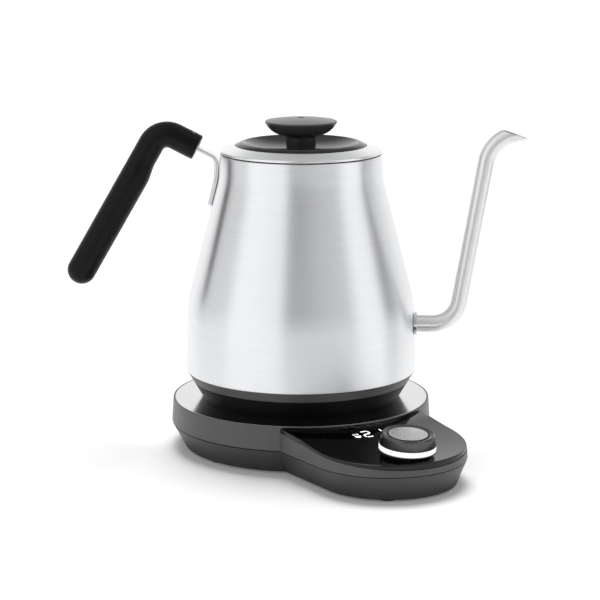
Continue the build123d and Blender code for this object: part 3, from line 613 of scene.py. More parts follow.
def make_piece(
    name: str,
    sheets: Iterable[Sheet],
    place: Place,
    finish: Surface,
    sharp: float = 40.0,
    merge: bool = True,
) -> bpy.types.Object:
    """One mesh object from grids of points.

    Args:
        name: The piece's name.
        sheets: Its surfaces.
        place: Frame that the points are in.
        finish: Its finish.
        sharp: Edges that turn by more than this stay sharp.
        merge: True if points in one place become one.

    Returns:
        The object, at the row's origin.
    """
    sheets = list(sheets)
    counts = [sheet.points.shape[0] * sheet.points.shape[1] for sheet in sheets]
    starts = np.cumsum([0] + counts)
    points = np.concatenate([sheet.points.reshape(-1, 3) for sheet in sheets])
    quads = np.concatenate([sheet.quads() + start for sheet, start in zip(sheets, starts)])
    uv = np.concatenate([sheet.lengths() for sheet in sheets])
    mesh = bpy.data.meshes.new(name)
    mesh.vertices.add(len(points))
    mesh.vertices.foreach_set("co", place.row(points).astype(np.float32).ravel())
    mesh.loops.add(quads.size)
    mesh.loops.foreach_set("vertex_index", quads.astype(np.int32).ravel())
    mesh.polygons.add(len(quads))
    mesh.polygons.foreach_set("loop_start", np.arange(0, quads.size, 4, dtype=np.int32))
    mesh.update(calc_edges=True)
    mesh.uv_layers.new(name="grain").data.foreach_set("uv", uv.astype(np.float32).ravel())
    if merge:
        shape = bmesh.new()
        shape.from_mesh(mesh)
        bmesh.ops.remove_doubles(shape, verts=shape.verts, dist=MERGE_METRES)
        bmesh.ops.recalc_face_normals(shape, faces=shape.faces)
        shape.to_mesh(mesh)
        shape.free()
    mesh.polygons.foreach_set("use_smooth", np.ones(len(mesh.polygons), bool))
    mesh.set_sharp_from_angle(angle=math.radians(sharp))
    mesh.materials.append(finish.material())
    mesh.validate()
    made = bpy.data.objects.new(name, mesh)
    bpy.context.scene.collection.objects.link(made)
    log.info("%s: %d faces", name, len(mesh.polygons))
    return made


def fit(made: bpy.types.Object, body: str, slot: str, *nodes: str) -> None:
    """Hangs a piece on its body and lets it stand for CAD nodes, which are hidden.

    Args:
        made: The piece.
        body: CAD body it moves with.
        slot: The record's material slot; not used.
        nodes: CAD nodes it stands for.
    """
    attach(made, body)
    if nodes:
        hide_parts(*nodes)


# Kettle


@dataclass
class KettleBody:
    """Steel body with its skirt and mouth collar, all turned about the upright axis."""

    place: Place
    bottom: float = 48.3
    radius: float = 71.0
    shoulder: Corner = (69.9, 91.0, 70.0)
    neck: Corner = (50.2, 167.0, 45.0)
    top: float = 182.3
    top_radius: float = 49.6
    wall: float = 1.0
    shelf: float = 6.0
    skirt_joint: Point = (67.4, 42.3)
    skirt_wall: float = 2.2
    collar_low: float = 183.0
    collar_edge: float = 1.4
    collar_rise: float = 4.6
    collar_ledge: float = 2.0
    collar_radius: float = 49.5
    collar_mouth: float = 40.2
    collar_throat: float = 37.5
    collar_depth: float = 11.0
    collar_wall: float = 1.2
    collar_round: float = 0.8
    edge: float = 0.3
    foot_edge: float = 0.35
    top_edge: float = 0.5
    joint_edge: float = 0.25
    columns: int = 256

    def shell(self) -> None:
        """Builds the thin steel body: outer side, top shelf and inner side in one profile."""
        wall = self.wall
        inner = self.top_radius - wall - self.shelf
        low, high = self.shoulder, self.neck
        corners = [
            (self.radius, self.bottom, self.foot_edge),
            low,
            high,
            (self.top_radius, self.top, self.top_edge),
            (inner, self.top, 0.0),
            (inner, self.top - wall, 0.0),
            (self.top_radius - wall, self.top - wall, self.edge),
            (high[0] - wall, high[1], high[2]),
            (low[0] - wall, low[1], low[2]),
            (self.radius - wall, self.bottom, 0.0),
        ]
        sheet = lathed(corners, steps=20, columns=self.columns)
        made = make_piece("steel_body", [sheet], self.place, BRUSHED)
        fit(made, "kettle", "brushed_steel", "body_shell")

    def collar(self) -> None:
        """Builds the brushed ring round the mouth, with its ledge and throat."""
        low, bottom = self.collar_low, self.collar_low - self.collar_depth
        top, throat = low + self.collar_rise, self.collar_throat
        corners = [
            (self.collar_radius, low, self.edge),
            (self.collar_radius, low + self.collar_edge, self.collar_round),
            (self.collar_mouth, top, self.edge),
            (self.collar_mouth, top - self.collar_ledge, 0.0),
            (throat, top - self.collar_ledge, self.edge),
            (throat, bottom, self.edge),
            (throat + self.collar_wall, bottom, self.edge),
            (throat + self.collar_wall, low, 0.0),
        ]
        sheet = lathed(corners, steps=6, columns=self.columns)
        made = make_piece("steel_collar", [sheet], self.place, COLLAR)
        fit(made, "kettle", "brushed_steel", "mouth_collar")

    def skirt(self) -> None:
        """Builds the satin ring under the body; the foot below it keeps its CAD shape."""
        radius, height = self.skirt_joint
        inner = radius - self.skirt_wall
        half = self.skirt_wall / 2
        corners = [
            (radius, height, self.joint_edge),
            (self.radius, self.bottom, self.edge),
            (inner, self.bottom, 0.0),
            (inner, self.bottom - half, 0.0),
            (self.radius - self.skirt_wall - half, self.bottom - half, 0.0),
            (inner, height, 0.0),
        ]
        sheet = lathed(corners, steps=4, columns=self.columns)
        made = make_piece("satin_skirt", [sheet], self.place, SKIRT)
        fit(made, "kettle", "charcoal_shell", "skirt_ring")

    def build(self) -> None:
        """Builds the body's pieces."""
        self.shell()
        self.collar()
        self.skirt()


@dataclass
class Lid:
    """Dished lid and its mushroom knob."""

    place: Place
    floor: float = 183.8
    floor_radius: float = 12.0
    crest: Point = (34.7, 189.5)
    crest_round: float = 1.2
    outer: float = 39.9
    edge: float = 187.3
    seat: float = 185.6
    inset: float = 37.2
    bottom: float = 181.6
    stem: float = 9.1
    stem_blend: int = 6
    bowl_low: float = 193.4
    rim: Point = (22.2, 201.7)
    rim_round: float = 0.6
    top: float = 204.187
    vent: float = 1.8
    vent_depth: float = 1.2
    vent_taper: float = 0.1
    vent_edge: float = 0.3
    vent_round: float = 0.2
    edge_round: float = 0.5
    inset_round: float = 0.3
    stem_edge: float = 0.2
    stem_round: float = 1.2

    def dish(self) -> None:
        """Builds the dished plate: level floor, arc up to the crest, brim falling to the seat."""
        bowl = tangent_arc((self.floor_radius, self.floor), self.crest, steps=28)[1:-1]
        brim = tangent_arc(self.crest, (self.outer, self.edge), steps=20)[2:]
        turn = [(*bowl[-1], 0.0), (*self.crest, self.crest_round), (*brim[0], 0.0)]
        crest = rounded(turn, steps=6)
        rim = rounded(
            [
                (*brim[-2], 0.0),
                (self.outer, self.edge, self.edge_round),
                (self.outer, self.seat, 0.0),
                (self.inset, self.seat, 0.0),
                (self.inset, self.bottom, self.inset_round),
                (0.0, self.bottom, 0.0),
            ],
            steps=5,
        )
        start = np.array([[0.0, self.floor], [self.floor_radius, self.floor]])
        profile = np.concatenate([start, bowl, crest[1:], brim[1:-2], rim])
        made = make_piece("lid_plate", [turned(profile, columns=256)], self.place, LID)
        fit(made, "lid", "gloss_black", "lid_dish")

    def knob(self) -> None:
        """Builds the knob: stem, bowl out to the rim, rounded lip, shallow dome and vent."""
        bowl = tangent_arc((self.stem, self.bowl_low), self.rim, steps=30)
        shoulder = (self.rim[0] - self.rim_round, self.rim[1] + self.rim_round)
        dome = tangent_arc((0.0, self.top), shoulder, steps=40)
        dome = dome[dome[:, 0] > self.vent + self.vent_edge][::-1]
        stem = rounded(
            [
                (0.0, self.floor, 0.0),
                (self.stem, self.floor, self.stem_edge),
                (self.stem, self.bowl_low, self.stem_round),
                (*bowl[self.stem_blend], 0.0),
            ],
            steps=6,
        )
        lip = rounded(
            [
                (*bowl[-2], 0.0),
                (*self.rim, self.rim_round),
                (*shoulder, self.rim_round),
                (*dome[1], 0.0),
            ],
            steps=4,
        )
        floor = self.top - self.vent_depth
        vent = rounded(
            [
                (*dome[-1], 0.0),
                (self.vent, self.top, self.vent_round),
                (self.vent - self.vent_taper, floor, self.vent_round),
                (0.0, floor, 0.0),
            ],
            steps=4,
        )
        profile = np.concatenate([stem[:-1], bowl[self.stem_blend : -2], lip, dome[2:-1], vent])
        made = make_piece("lid_handle", [turned(profile, columns=224)], self.place, KNOB)
        fit(made, "lid", "knob_grey", "lid_knob")

    def build(self) -> None:
        """Builds the lid's pieces."""
        self.dish()
        self.knob()


@dataclass
class Spout:
    """Gooseneck tube, cut by a sloping plane at its beak."""

    place: Place
    root: Point = (66.75, 77.4)
    corner: Corner = (95.15, 77.4, 17.0)
    top: Corner = (114.86, 191.5, 21.5)
    tip: Point = (138.04, 197.71)
    radius: float = 5.2
    root_gain: float = 0.25
    root_share: float = 0.25
    middle_loss: float = 0.2
    bore_wall: float = 0.8
    mouth: Point = (122.7, 197.7)
    mouth_drop: float = 18.2
    beak_share: float = 0.9
    neck_rows: int = 150
    beak_rows: int = 40
    columns: int = 128
    search_rows: int = 1200

    def width(self, share: Array) -> Array:
        """Outer radius at shares of the length: a little wider at the root, slimmest half way."""
        gain = self.root_gain * (1 - smooth(share / self.root_share))
        return self.radius + gain - self.middle_loss * np.sin(np.pi * np.clip(share, 0, 1))

    def tube(self, track: Track, place: Array, angle: Array, thinner: float) -> Array:
        """Points at lengths along the tube and angles round it, inside its outer surface."""
        radius = self.width(place / track.length[-1]) - thinner
        return swept(track, place, radius * np.cos(angle), radius * np.sin(angle))

    def skin(self, track: Track, thinner: float, share: Array) -> Array:
        """Tube surface between the root and the mouth's plane.

        Every line along the tube is followed to the length at which it meets the plane, and the
        rows are spread over that length.

        Args:
            track: Centre line.
            thinner: How far the surface lies inside the outer one.
            share: Share of each line's length at each row.

        Returns:
            Grid of points.
        """
        drop = math.radians(self.mouth_drop)
        angle = np.linspace(0, 2 * np.pi, self.columns, endpoint=False)[None, :]
        full = track.length[-1]
        place = np.linspace(0, full, self.search_rows)[:, None] + 0 * angle
        points = self.tube(track, place, angle, thinner)
        from_mouth = points[..., [0, 2]] - np.array(self.mouth)
        high = from_mouth[..., 0] * math.sin(drop) + from_mouth[..., 1] * math.cos(drop)
        above = high > 0
        first = np.where(above.any(0), above.argmax(0), len(place) - 1)
        pick = np.arange(self.columns)
        before, after = high[first - 1, pick], high[first, pick]
        part = np.where(above.any(0), before / (before - after), 1.0)
        ends = (first - 1 + part) / (len(place) - 1) * full
        return self.tube(track, share[:, None] * ends[None, :], angle, thinner)

    def build(self) -> None:
        """Builds the tube as outer skin, lip and bore in one closed surface."""
        line = [(*self.root, 0.0), self.corner, self.top, (*self.tip, 0.0)]
        track = Track(rounded(line, steps=40))
        neck = np.linspace(0, self.beak_share, self.neck_rows)
        beak = np.linspace(self.beak_share, 1.0, self.beak_rows)
        share = np.concatenate([neck, beak[1:]])
        outer = self.skin(track, 0.0, share)
        inner = self.skin(track, self.bore_wall, share)[::-1]
        lip = (outer[-1:] + inner[:1]) / 2
        sheet = Sheet(np.concatenate([outer, lip, inner]), loop=True)
        made = make_piece("gooseneck", [sheet], self.place, SPOUT, sharp=30.0)
        fit(made, "kettle", "polished_steel", "spout_tube")


@dataclass
class Handle:
    """Soft grip on a flat polished bar."""

    place: Place
    end: Point = (-63.7, 184.9)
    drop: float = 26.5
    corner_run: float = 25.8
    bend: float = 11.2
    lean: float = 30.0
    run: float = 102.0
    neck: float = 8.0
    radius: float = 8.9
    step_at: float = 20.0
    step_over: float = 14.0
    edge: float = 0.9
    dense_end: float = 10.0
    dense_step: float = 0.2
    screw_place: float = 6.2
    pocket_radius: float = 2.35
    pocket_wall: float = 0.35
    pocket_floor: float = 6.9
    thread_radius: float = 1.5
    thread_end: float = -1.3
    head_radius: float = 2.0
    head_low: float = 5.5
    head_top: float = 7.3
    socket_radius: float = 1.05
    socket_taper: float = 0.1
    socket_depth: float = 1.1
    socket_edge: float = 0.15
    screw_edge: float = 0.1
    head_round: float = 0.3
    bar_width: float = 11.0
    bar_thickness: float = 2.6
    bar_corner: float = 1.0
    bar_bend: Corner = (-51.593, 178.864, 6.0)
    bar_hug: Corner = (-51.593, 167.0, 45.0)
    bar_foot: Point = (-56.103, 149.6)
    bar_tang: float = 15.0
    bar_lead: float = 0.3
    bar_rows: int = 110
    bar_tip_loss: float = 0.3

    def away(self) -> Array:
        """Unit direction from the grip's end to its corner."""
        drop = math.radians(self.drop)
        return np.array([-math.cos(drop), math.sin(drop)])

    def screw_axis(self) -> tuple[Array, Array]:
        """The grip screw's axis, which crosses the grip's centre line.

        Returns:
            The crossing, and the unit direction out of the grip's top.
        """
        x, z = self.away()
        spot = [self.end[0] + x * self.screw_place, 0.0, self.end[1] + z * self.screw_place]
        return np.array(spot), np.array([z, 0.0, -x])

    def sink_screw(self, points: Array) -> Array:
        """Grip surface with a round pocket for the screw.

        Points on the top side within the pocket's radius of the screw's axis go down to the
        pocket's floor, over a short soft wall.

        Args:
            points: Grid of the grip's surface.

        Returns:
            The grid with the pocket.
        """
        spot, out = self.screw_axis()
        from_spot = points - spot
        height = from_spot @ out
        off = np.linalg.norm(from_spot - height[..., None] * out, axis=-1)
        depth = np.where(height > 0, height - self.pocket_floor, 0.0)
        depth = depth * smooth((self.pocket_radius - off) / self.pocket_wall)
        return points - np.clip(depth, 0, None)[..., None] * out

    def grip(self) -> None:
        """Builds the grip: flat end with a round edge, bend, and a thicker run with a round end.

        The radius grows by a soft step and the centre moves to the inner side by the same amount,
        so that only the inner side swells.
        """
        end = np.array(self.end)
        corner = end + self.away() * self.corner_run
        lean = math.radians(self.lean)
        low = corner - np.array([math.sin(lean), math.cos(lean)]) * (self.run + self.radius)
        track = Track(rounded([(*end, 0.0), (*corner, self.bend), (*low, 0.0)], steps=40))
        full = track.length[-1]
        edge = self.edge * (1 - np.cos(np.linspace(0, QUARTER, num=9)))
        dense = np.arange(self.edge, self.dense_end, self.dense_step)[1:]
        rest = np.linspace(self.dense_end, full - self.radius, num=150)
        cap = full - self.radius * (1 - np.sin(np.linspace(0, QUARTER, num=26)))[1:]
        place = np.concatenate([[0.0], edge, dense, rest, cap])
        into_run = place - full + self.run + self.radius
        swell = smooth((into_run - self.step_at) / self.step_over) * (self.radius - self.neck)
        radius = self.neck + swell
        into = np.clip((self.edge - place) / self.edge, 0, 1)
        radius = radius - self.edge * (1 - np.sqrt(1 - into**2))
        past = np.clip(place - (full - self.radius), 0, self.radius)
        ball = np.sqrt(np.clip(self.radius**2 - past**2, 0, None))
        radius = np.where(past > 0, ball, radius)
        radius[0] = 0.0
        angle = np.linspace(0, 2 * np.pi, num=200, endpoint=False)[None, :]
        across = swell[:, None] + radius[:, None] * np.cos(angle)
        beside = radius[:, None] * np.sin(angle)
        points = swept(track, place[:, None] + 0 * angle, across, beside)
        sheet = Sheet(self.sink_screw(points))
        made = make_piece("soft_grip", [sheet], self.place, GRIP, sharp=50.0)
        fit(made, "kettle", "grip", "handle_grip")

    def screw(self) -> None:
        """Builds the grip's screw: a round head with a socket, and its thread down to the bar."""
        floor = self.head_top - self.socket_depth
        corners = [
            (0.0, self.thread_end, 0.0),
            (self.thread_radius, self.thread_end, self.screw_edge),
            (self.thread_radius, self.head_low, 0.0),
            (self.head_radius, self.head_low, self.screw_edge),
            (self.head_radius, self.head_top, self.head_round),
            (self.socket_radius, self.head_top, self.socket_edge),
            (self.socket_radius - self.socket_taper, floor, 0.0),
            (0.0, floor, 0.0),
        ]
        spot, out = self.screw_axis()
        x, z = self.away()
        way = np.array([x, 0.0, z])
        place = Place(self.place.row(spot), np.stack([way, np.cross(out, way), out]))
        sheet = lathed(corners, steps=4, columns=48, closed=False)
        made = make_piece("grip_fixing", [sheet], place, BARE_STEEL)
        fit(made, "kettle", "fasteners", "grip_screw")

    def bar(self) -> None:
        """Builds the flat bar: a rectangle with round corners carried down to the body."""
        half, thick, corner = self.bar_width / 2, self.bar_thickness / 2, self.bar_corner
        signs = ((1, 1), (-1, 1), (-1, -1), (1, -1))
        section = rounded([(thick * x, half * y, corner) for x, y in signs], steps=6, closed=True)
        start = np.array(self.end) + self.away() * self.bar_tang
        line = [(*start, 0.0), self.bar_bend, self.bar_hug, (*self.bar_foot, 0.0)]
        track = Track(rounded(line, steps=24))
        full = track.length[-1]
        tip = np.linspace(0, QUARTER, num=7)[1:]
        run = np.linspace(self.bar_lead, full - corner, self.bar_rows)
        place = np.concatenate([[0.0, 0.0], run, full - corner * (1 - np.sin(tip)), [full]])
        tapered = 1 - self.bar_tip_loss * (1 - np.cos(tip))
        pull = np.concatenate([[0.0, 1.0], np.ones(self.bar_rows), tapered, [0.0]])
        across = pull[:, None] * section[None, :, 0]
        beside = pull[:, None] * section[None, :, 1]
        points = swept(track, place[:, None] + 0 * across, across, beside)
        made = make_piece("flat_bar", [Sheet(points)], self.place, BAR, sharp=50.0)
        fit(made, "kettle", "polished_steel", "handle_bracket")

    def build(self) -> None:
        """Builds the handle's pieces."""
        self.grip()
        self.screw()
        self.bar()


# Base


@dataclass(frozen=True)
class Level:
    """Plan of the base at one height: the disc's radius, and the lobe's reach and radius."""

    height: float
    disc: float
    reach: float
    lobe: float

    def towards(self, other: "Level", height: float) -> "Level":
        """The plan at another height, along the straight wall to another level.

        Args:
            other: Level at the wall's other end.
            height: Height of the wanted plan.

        Returns:
            The plan.
        """
        share = (height - self.height) / (other.height - self.height)
        pairs = ((self.disc, other.disc), (self.reach, other.reach), (self.lobe, other.lobe))
        return Level(height, *(here + share * (there - here) for here, there in pairs))


@dataclass
class PoweredBase:
    """Upper casing of disc and lobe, with the plate, the sloping panel and its lit ring."""

    place: Place
    lobe: Place
    panel_frame: Place
    seam: Level = Level(15.9, 80.4, 99.9, 48.08)
    top: Level = Level(30.6, 79.5, 99.0, 47.38)
    wall: float = 2.2
    rim: float = 1.0
    rim_round: float = 0.15
    top_round: float = 0.45
    seam_round: float = 0.3
    seam_edge: float = 0.3
    inner_scale: float = 0.96
    plate_thickness: float = 2.0
    plate_gap: float = 0.1
    plate_round: float = 0.25
    neck: float = 13.1
    tilt: float = 5.0
    panel_height: float = 28.7
    panel_thickness: float = 3.4
    panel_plan_drop: float = 4.0
    panel_gap: float = 0.25
    panel_edge: float = 0.6
    panel_foot: Point = (0.25, 0.2)
    panel_waist: float = 1.6
    panel_sag: float = 1.7
    panel_dip: float = 0.8
    lip_drop: float = 0.45
    lip_depth: float = 0.7
    lobe_offset: float = -5.6
    root: float = 56.0
    dial_reach: float = 121.5
    ring: tuple[float, float] = (16.1, 16.7)
    ring_height: float = 3.3
    ring_sink: float = 0.2
    ring_rounds: tuple[float, float] = (0.2, 0.3)
    columns: int = 256

    def lobe_plan(self, level: Level) -> Array:
        """Lobe's plan in its own frame: straight sides from inside the disc, and a round end.

        Args:
            level: Level of the base.

        Returns:
            Points (x, y) from the left side round to the right one.
        """
        angle = np.linspace(-QUARTER, QUARTER, num=121)
        side = np.linspace(0, 1, num=24)[:-1]
        straight, flat = np.ones(len(side)), np.zeros(len(side))
        x = np.concatenate([-straight, np.sin(angle), straight])
        y = np.concatenate([flat, -np.cos(angle), flat])
        out = np.concatenate([side, np.ones(len(angle)), side[::-1]])
        reach = self.root + (level.reach - self.root) * out
        return np.stack([level.lobe * x, level.lobe * y - reach], -1)

    def lobe_points(self, points: Array) -> Array:
        """Points about the kettle's axis, which stands beside the lobe's, in the lobe's frame."""
        return points - np.array([self.lobe_offset, 0.0, 0.0])

    def upper(self) -> None:
        """Builds the upper casing: the disc's ring with its rim, and the lobe's wall.

        The lobe's wall is straight between the plans at the seam and at the top; each of its lines
        stops where it meets the plane of the panel's underside.
        """
        seam, top = self.seam, self.top
        rim, plate = top.disc - self.rim, top.height - self.plate_thickness
        under, inside = plate - self.wall, seam.disc - self.wall
        corners = [
            (seam.disc, seam.height, self.seam_round),
            (top.disc, top.height, self.top_round),
            (rim, top.height, self.rim_round),
            (rim, plate, 0.0),
            (self.neck, plate, 0.0),
            (self.neck, under, 0.0),
            (inside, under, 0.0),
            (inside, seam.height, 0.0),
        ]
        disc = lathed(corners, steps=6, columns=self.columns)
        disc.points = self.lobe_points(disc.points)
        low, high = self.lobe_plan(seam), self.lobe_plan(top)
        tilt = math.radians(self.tilt)
        slope, drop = math.tan(tilt), self.panel_thickness / math.cos(tilt)
        rise = top.height - seam.height
        share = self.panel_height - drop - seam.height + (low[:, 1] + top.disc) * slope
        share = share / (rise - (high[:, 1] - low[:, 1]) * slope)
        edge = self.seam_edge / rise
        part = np.array([edge / 4, edge, *np.linspace(0.1, 0.9, 5), 1.0])[:, None] * share
        plan = low + part[..., None] * (high - low)
        walls = np.concatenate([plan, (seam.height + part * rise)[..., None]], -1)
        inner = walls[::-1].copy()
        inner[..., :2] *= self.inner_scale
        lobe = Sheet(np.concatenate([walls, inner]), ring=False, loop=True)
        made = make_piece("upper_casing", [disc, lobe], self.lobe, CHARCOAL)
        fit(made, "base", "charcoal_shell", "base_upper_shell")

    def plate(self) -> None:
        """Builds the plate that lies flush inside the disc's rim."""
        low = self.top.height - self.plate_thickness
        outer = self.top.disc - self.rim - self.plate_gap
        corners = [
            (outer, low, 0.0),
            (outer, self.top.height, self.plate_round),
            (self.neck, self.top.height, self.plate_round),
            (self.neck, low, 0.0),
        ]
        sheet = lathed(corners, steps=5, columns=self.columns)
        made = make_piece("gloss_plate", [sheet], self.place, PLATE)
        fit(made, "base", "gloss_black", "base_top_plate")

    def hollow(self, reach: Array) -> Array:
        """Depth of the panel's face under its plane.

        It is dip (1 - u) + sag * 4 u (1 - u), where u goes from 0 at the disc to 1 at the front.

        Args:
            reach: Distances from the kettle's axis along the lobe.

        Returns:
            Depth at each distance.
        """
        length = self.top.reach + self.top.lobe - self.top.disc
        share = np.clip((reach - self.top.disc) / length, 0, 1)
        return self.panel_dip * (1 - share) + self.panel_sag * 4 * share * (1 - share)

    def panel_points(self, plan: Array, drop: Array) -> Array:
        """Points of the panel from their plan in the lobe's frame and their depth under its face.

        The underside is a sloping plane. The face lies a thickness above it, less its hollow.

        Args:
            plan: Grid of (x, y).
            drop: Depth of each point under the unhollowed face.

        Returns:
            Grid of points.
        """
        tilt = math.radians(self.tilt)
        plane = self.panel_height + (plan[..., 1] + self.top.disc) * math.tan(tilt)
        hollow = self.hollow(-plan[..., 1]) * (1 - drop / self.panel_thickness)
        return np.concatenate([plan, (plane - drop / math.cos(tilt) - hollow)[..., None]], -1)

    def panel_outline(self, plan: Level, back: float, inset: float) -> Array:
        """Front outline of the panel: left side, round end, right side.

        Args:
            plan: Level whose lobe the panel follows.
            back: Radius about the kettle's axis where the sides start.
            inset: How far the outline is set in.

        Returns:
            Points (x, y) in the lobe's frame.
        """
        half = plan.lobe - inset
        angle = np.linspace(-QUARTER, QUARTER, num=161)
        side = np.linspace(0, 1, num=20)[:-1]
        left = -math.sqrt(back**2 - (-half + self.lobe_offset) ** 2)
        right = -math.sqrt(back**2 - (half + self.lobe_offset) ** 2)
        y_left = left + (-plan.reach - left) * side
        y_right = (right + (-plan.reach - right) * side)[::-1]
        straight = np.full(len(side), half)
        x = np.concatenate([-straight, half * np.sin(angle), straight])
        y = np.concatenate([y_left, -plan.reach - half * np.cos(angle), y_right])
        return np.stack([x, y], -1)

    def panel(self) -> None:
        """Builds the sloping gloss panel.

        Its front outline follows the lobe's side and round end, its back one the disc's wall; rows
        run up the edge, round it, then from the front outline to the back one, and up the disc's
        wall to its rim as a narrow lip.
        """
        plan = self.seam.towards(self.top, self.panel_height - self.panel_plan_drop)
        back = self.top.disc + self.panel_gap
        turn = np.linspace(0, QUARTER, num=6)[1:]
        edge, thick = self.panel_edge, self.panel_thickness
        foot_inset, foot_height = self.panel_foot
        insets = np.concatenate([[foot_inset, 0.0, 0.0, 0.0], edge * (1 - np.cos(turn))])
        depth = [thick, thick - foot_height, self.panel_waist, edge]
        depth = np.concatenate([depth, edge * (1 - np.sin(turn))])
        rows = np.stack([self.panel_outline(plan, back, inset) for inset in insets])
        skin = self.panel_points(rows, depth[:, None])
        front = rows[-1]
        x = front[:, 0]
        rear = np.stack([x, -np.sqrt(back**2 - (x + self.lobe_offset) ** 2)], -1)
        across = np.concatenate([[0.02], np.linspace(0.06, 1, 14)])[:, None, None]
        face = self.panel_points(front + across * (rear - front), np.zeros((len(across), 1)))
        lip_height = np.full((len(x), 1), self.top.height - self.lip_drop)
        lip = np.concatenate([rear, lip_height], -1)
        inward = (rear + np.array([self.lobe_offset, 0.0])) * self.lip_depth / back
        tucked = np.concatenate([rear - inward, lip_height], -1)
        under = tucked - np.array([0.0, 0.0, thick])
        sheet = Sheet(np.concatenate([skin, face, np.stack([lip, tucked, under])]), ring=False)
        made = make_piece("gloss_panel", [sheet], self.lobe, PANEL)
        fit(made, "base", "gloss_black", "control_panel")

    def light(self) -> None:
        """Builds the glowing ring that stands on the panel round the dial.

        Mirror rays don't see it, so that the panel round it stays black.
        """
        inner, outer = self.ring
        inner_round, outer_round = self.ring_rounds
        foot = -float(self.hollow(np.array(self.dial_reach))) - self.ring_sink
        corners = [
            (outer, foot, 0.0),
            (outer, self.ring_height, outer_round),
            (inner, self.ring_height, inner_round),
            (inner, foot, 0.0),
        ]
        sheet = lathed(corners, steps=5, columns=160)
        made = make_piece("glow_ring", [sheet], self.panel_frame, GLOW)
        made.visible_glossy = False
        fit(made, "base", "light", "light_ring")

    def build(self) -> None:
        """Builds the base's pieces."""
        self.upper()
        self.plate()
        self.panel()
        self.light()


@dataclass
class Dial:
    """Dial with a dished top ring, and a crowned metal cap let into its top."""

    place: Place
    radius: float = 15.8
    lift: float = 1.7
    height: float = 9.3
    chamfer: float = 0.9
    wall: float = 2.4
    hub: float = 5.4
    bore: float = 3.05
    bore_top: float = 7.7
    dish: float = 0.75
    groove: float = 0.85
    groove_depth: float = 1.2
    groove_undercut: float = 0.4
    cap_radius: float = 11.5
    cap_thickness: float = 1.2
    cap_drop: float = 0.3
    crown: float = 0.4
    crown_step: float = 0.15
    crown_steps: int = 6
    edge: float = 0.25
    foot_edge: float = 0.3
    hollow_edge: float = 0.2
    seat_edge: float = 0.12
    columns: int = 192

    def knob(self) -> None:
        """Builds the knob, hollow from below, with the groove round its cap."""
        seat, floor = self.cap_radius + self.groove, self.height - self.cap_thickness
        roof, inner = floor - self.wall, self.radius - self.wall
        pillar = self.cap_radius - self.groove_undercut
        corners = [
            (0.0, self.bore_top, 0.0),
            (self.bore, self.bore_top, 0.0),
            (self.bore, self.lift, self.hollow_edge),
            (self.hub, self.lift, self.hollow_edge),
            (self.hub, roof, 0.0),
            (inner, roof, 0.0),
            (inner, self.lift, self.hollow_edge),
            (self.radius, self.lift, self.foot_edge),
            (self.radius, self.height - self.chamfer, self.edge),
            (self.radius - self.chamfer, self.height, self.edge),
            (seat, self.height - self.dish, self.seat_edge),
            (seat, floor - self.groove_depth, 0.0),
            (pillar, floor - self.groove_depth, 0.0),
            (pillar, floor, 0.0),
            (0.0, floor, 0.0),
        ]
        sheet = lathed(corners, steps=4, columns=self.columns, closed=False)
        made = make_piece("dial_body", [sheet], self.place, DIAL)
        fit(made, "dial", "charcoal_shell", "dial_knob")

    def cap(self) -> None:
        """Builds the cap, whose top rises from its edge by crown * (1 - share of the radius^2)."""
        low, edge = self.height - self.cap_thickness, self.height - self.cap_drop
        shares = self.crown_step * np.arange(self.crown_steps, -1, -1)
        corners = [
            (0.0, low, 0.0),
            (self.cap_radius, low, 0.0),
            (self.cap_radius, edge, self.edge),
            *[(self.cap_radius * s, edge + self.crown * (1 - s**2), 0.0) for s in shares],
        ]
        sheet = lathed(corners, steps=5, columns=self.columns, closed=False)
        made = make_piece("dial_plate", [sheet], self.place, CAP)
        fit(made, "dial", "cap_metal", "dial_cap")

    def build(self) -> None:
        """Builds the dial's pieces."""
        self.knob()
        self.cap()


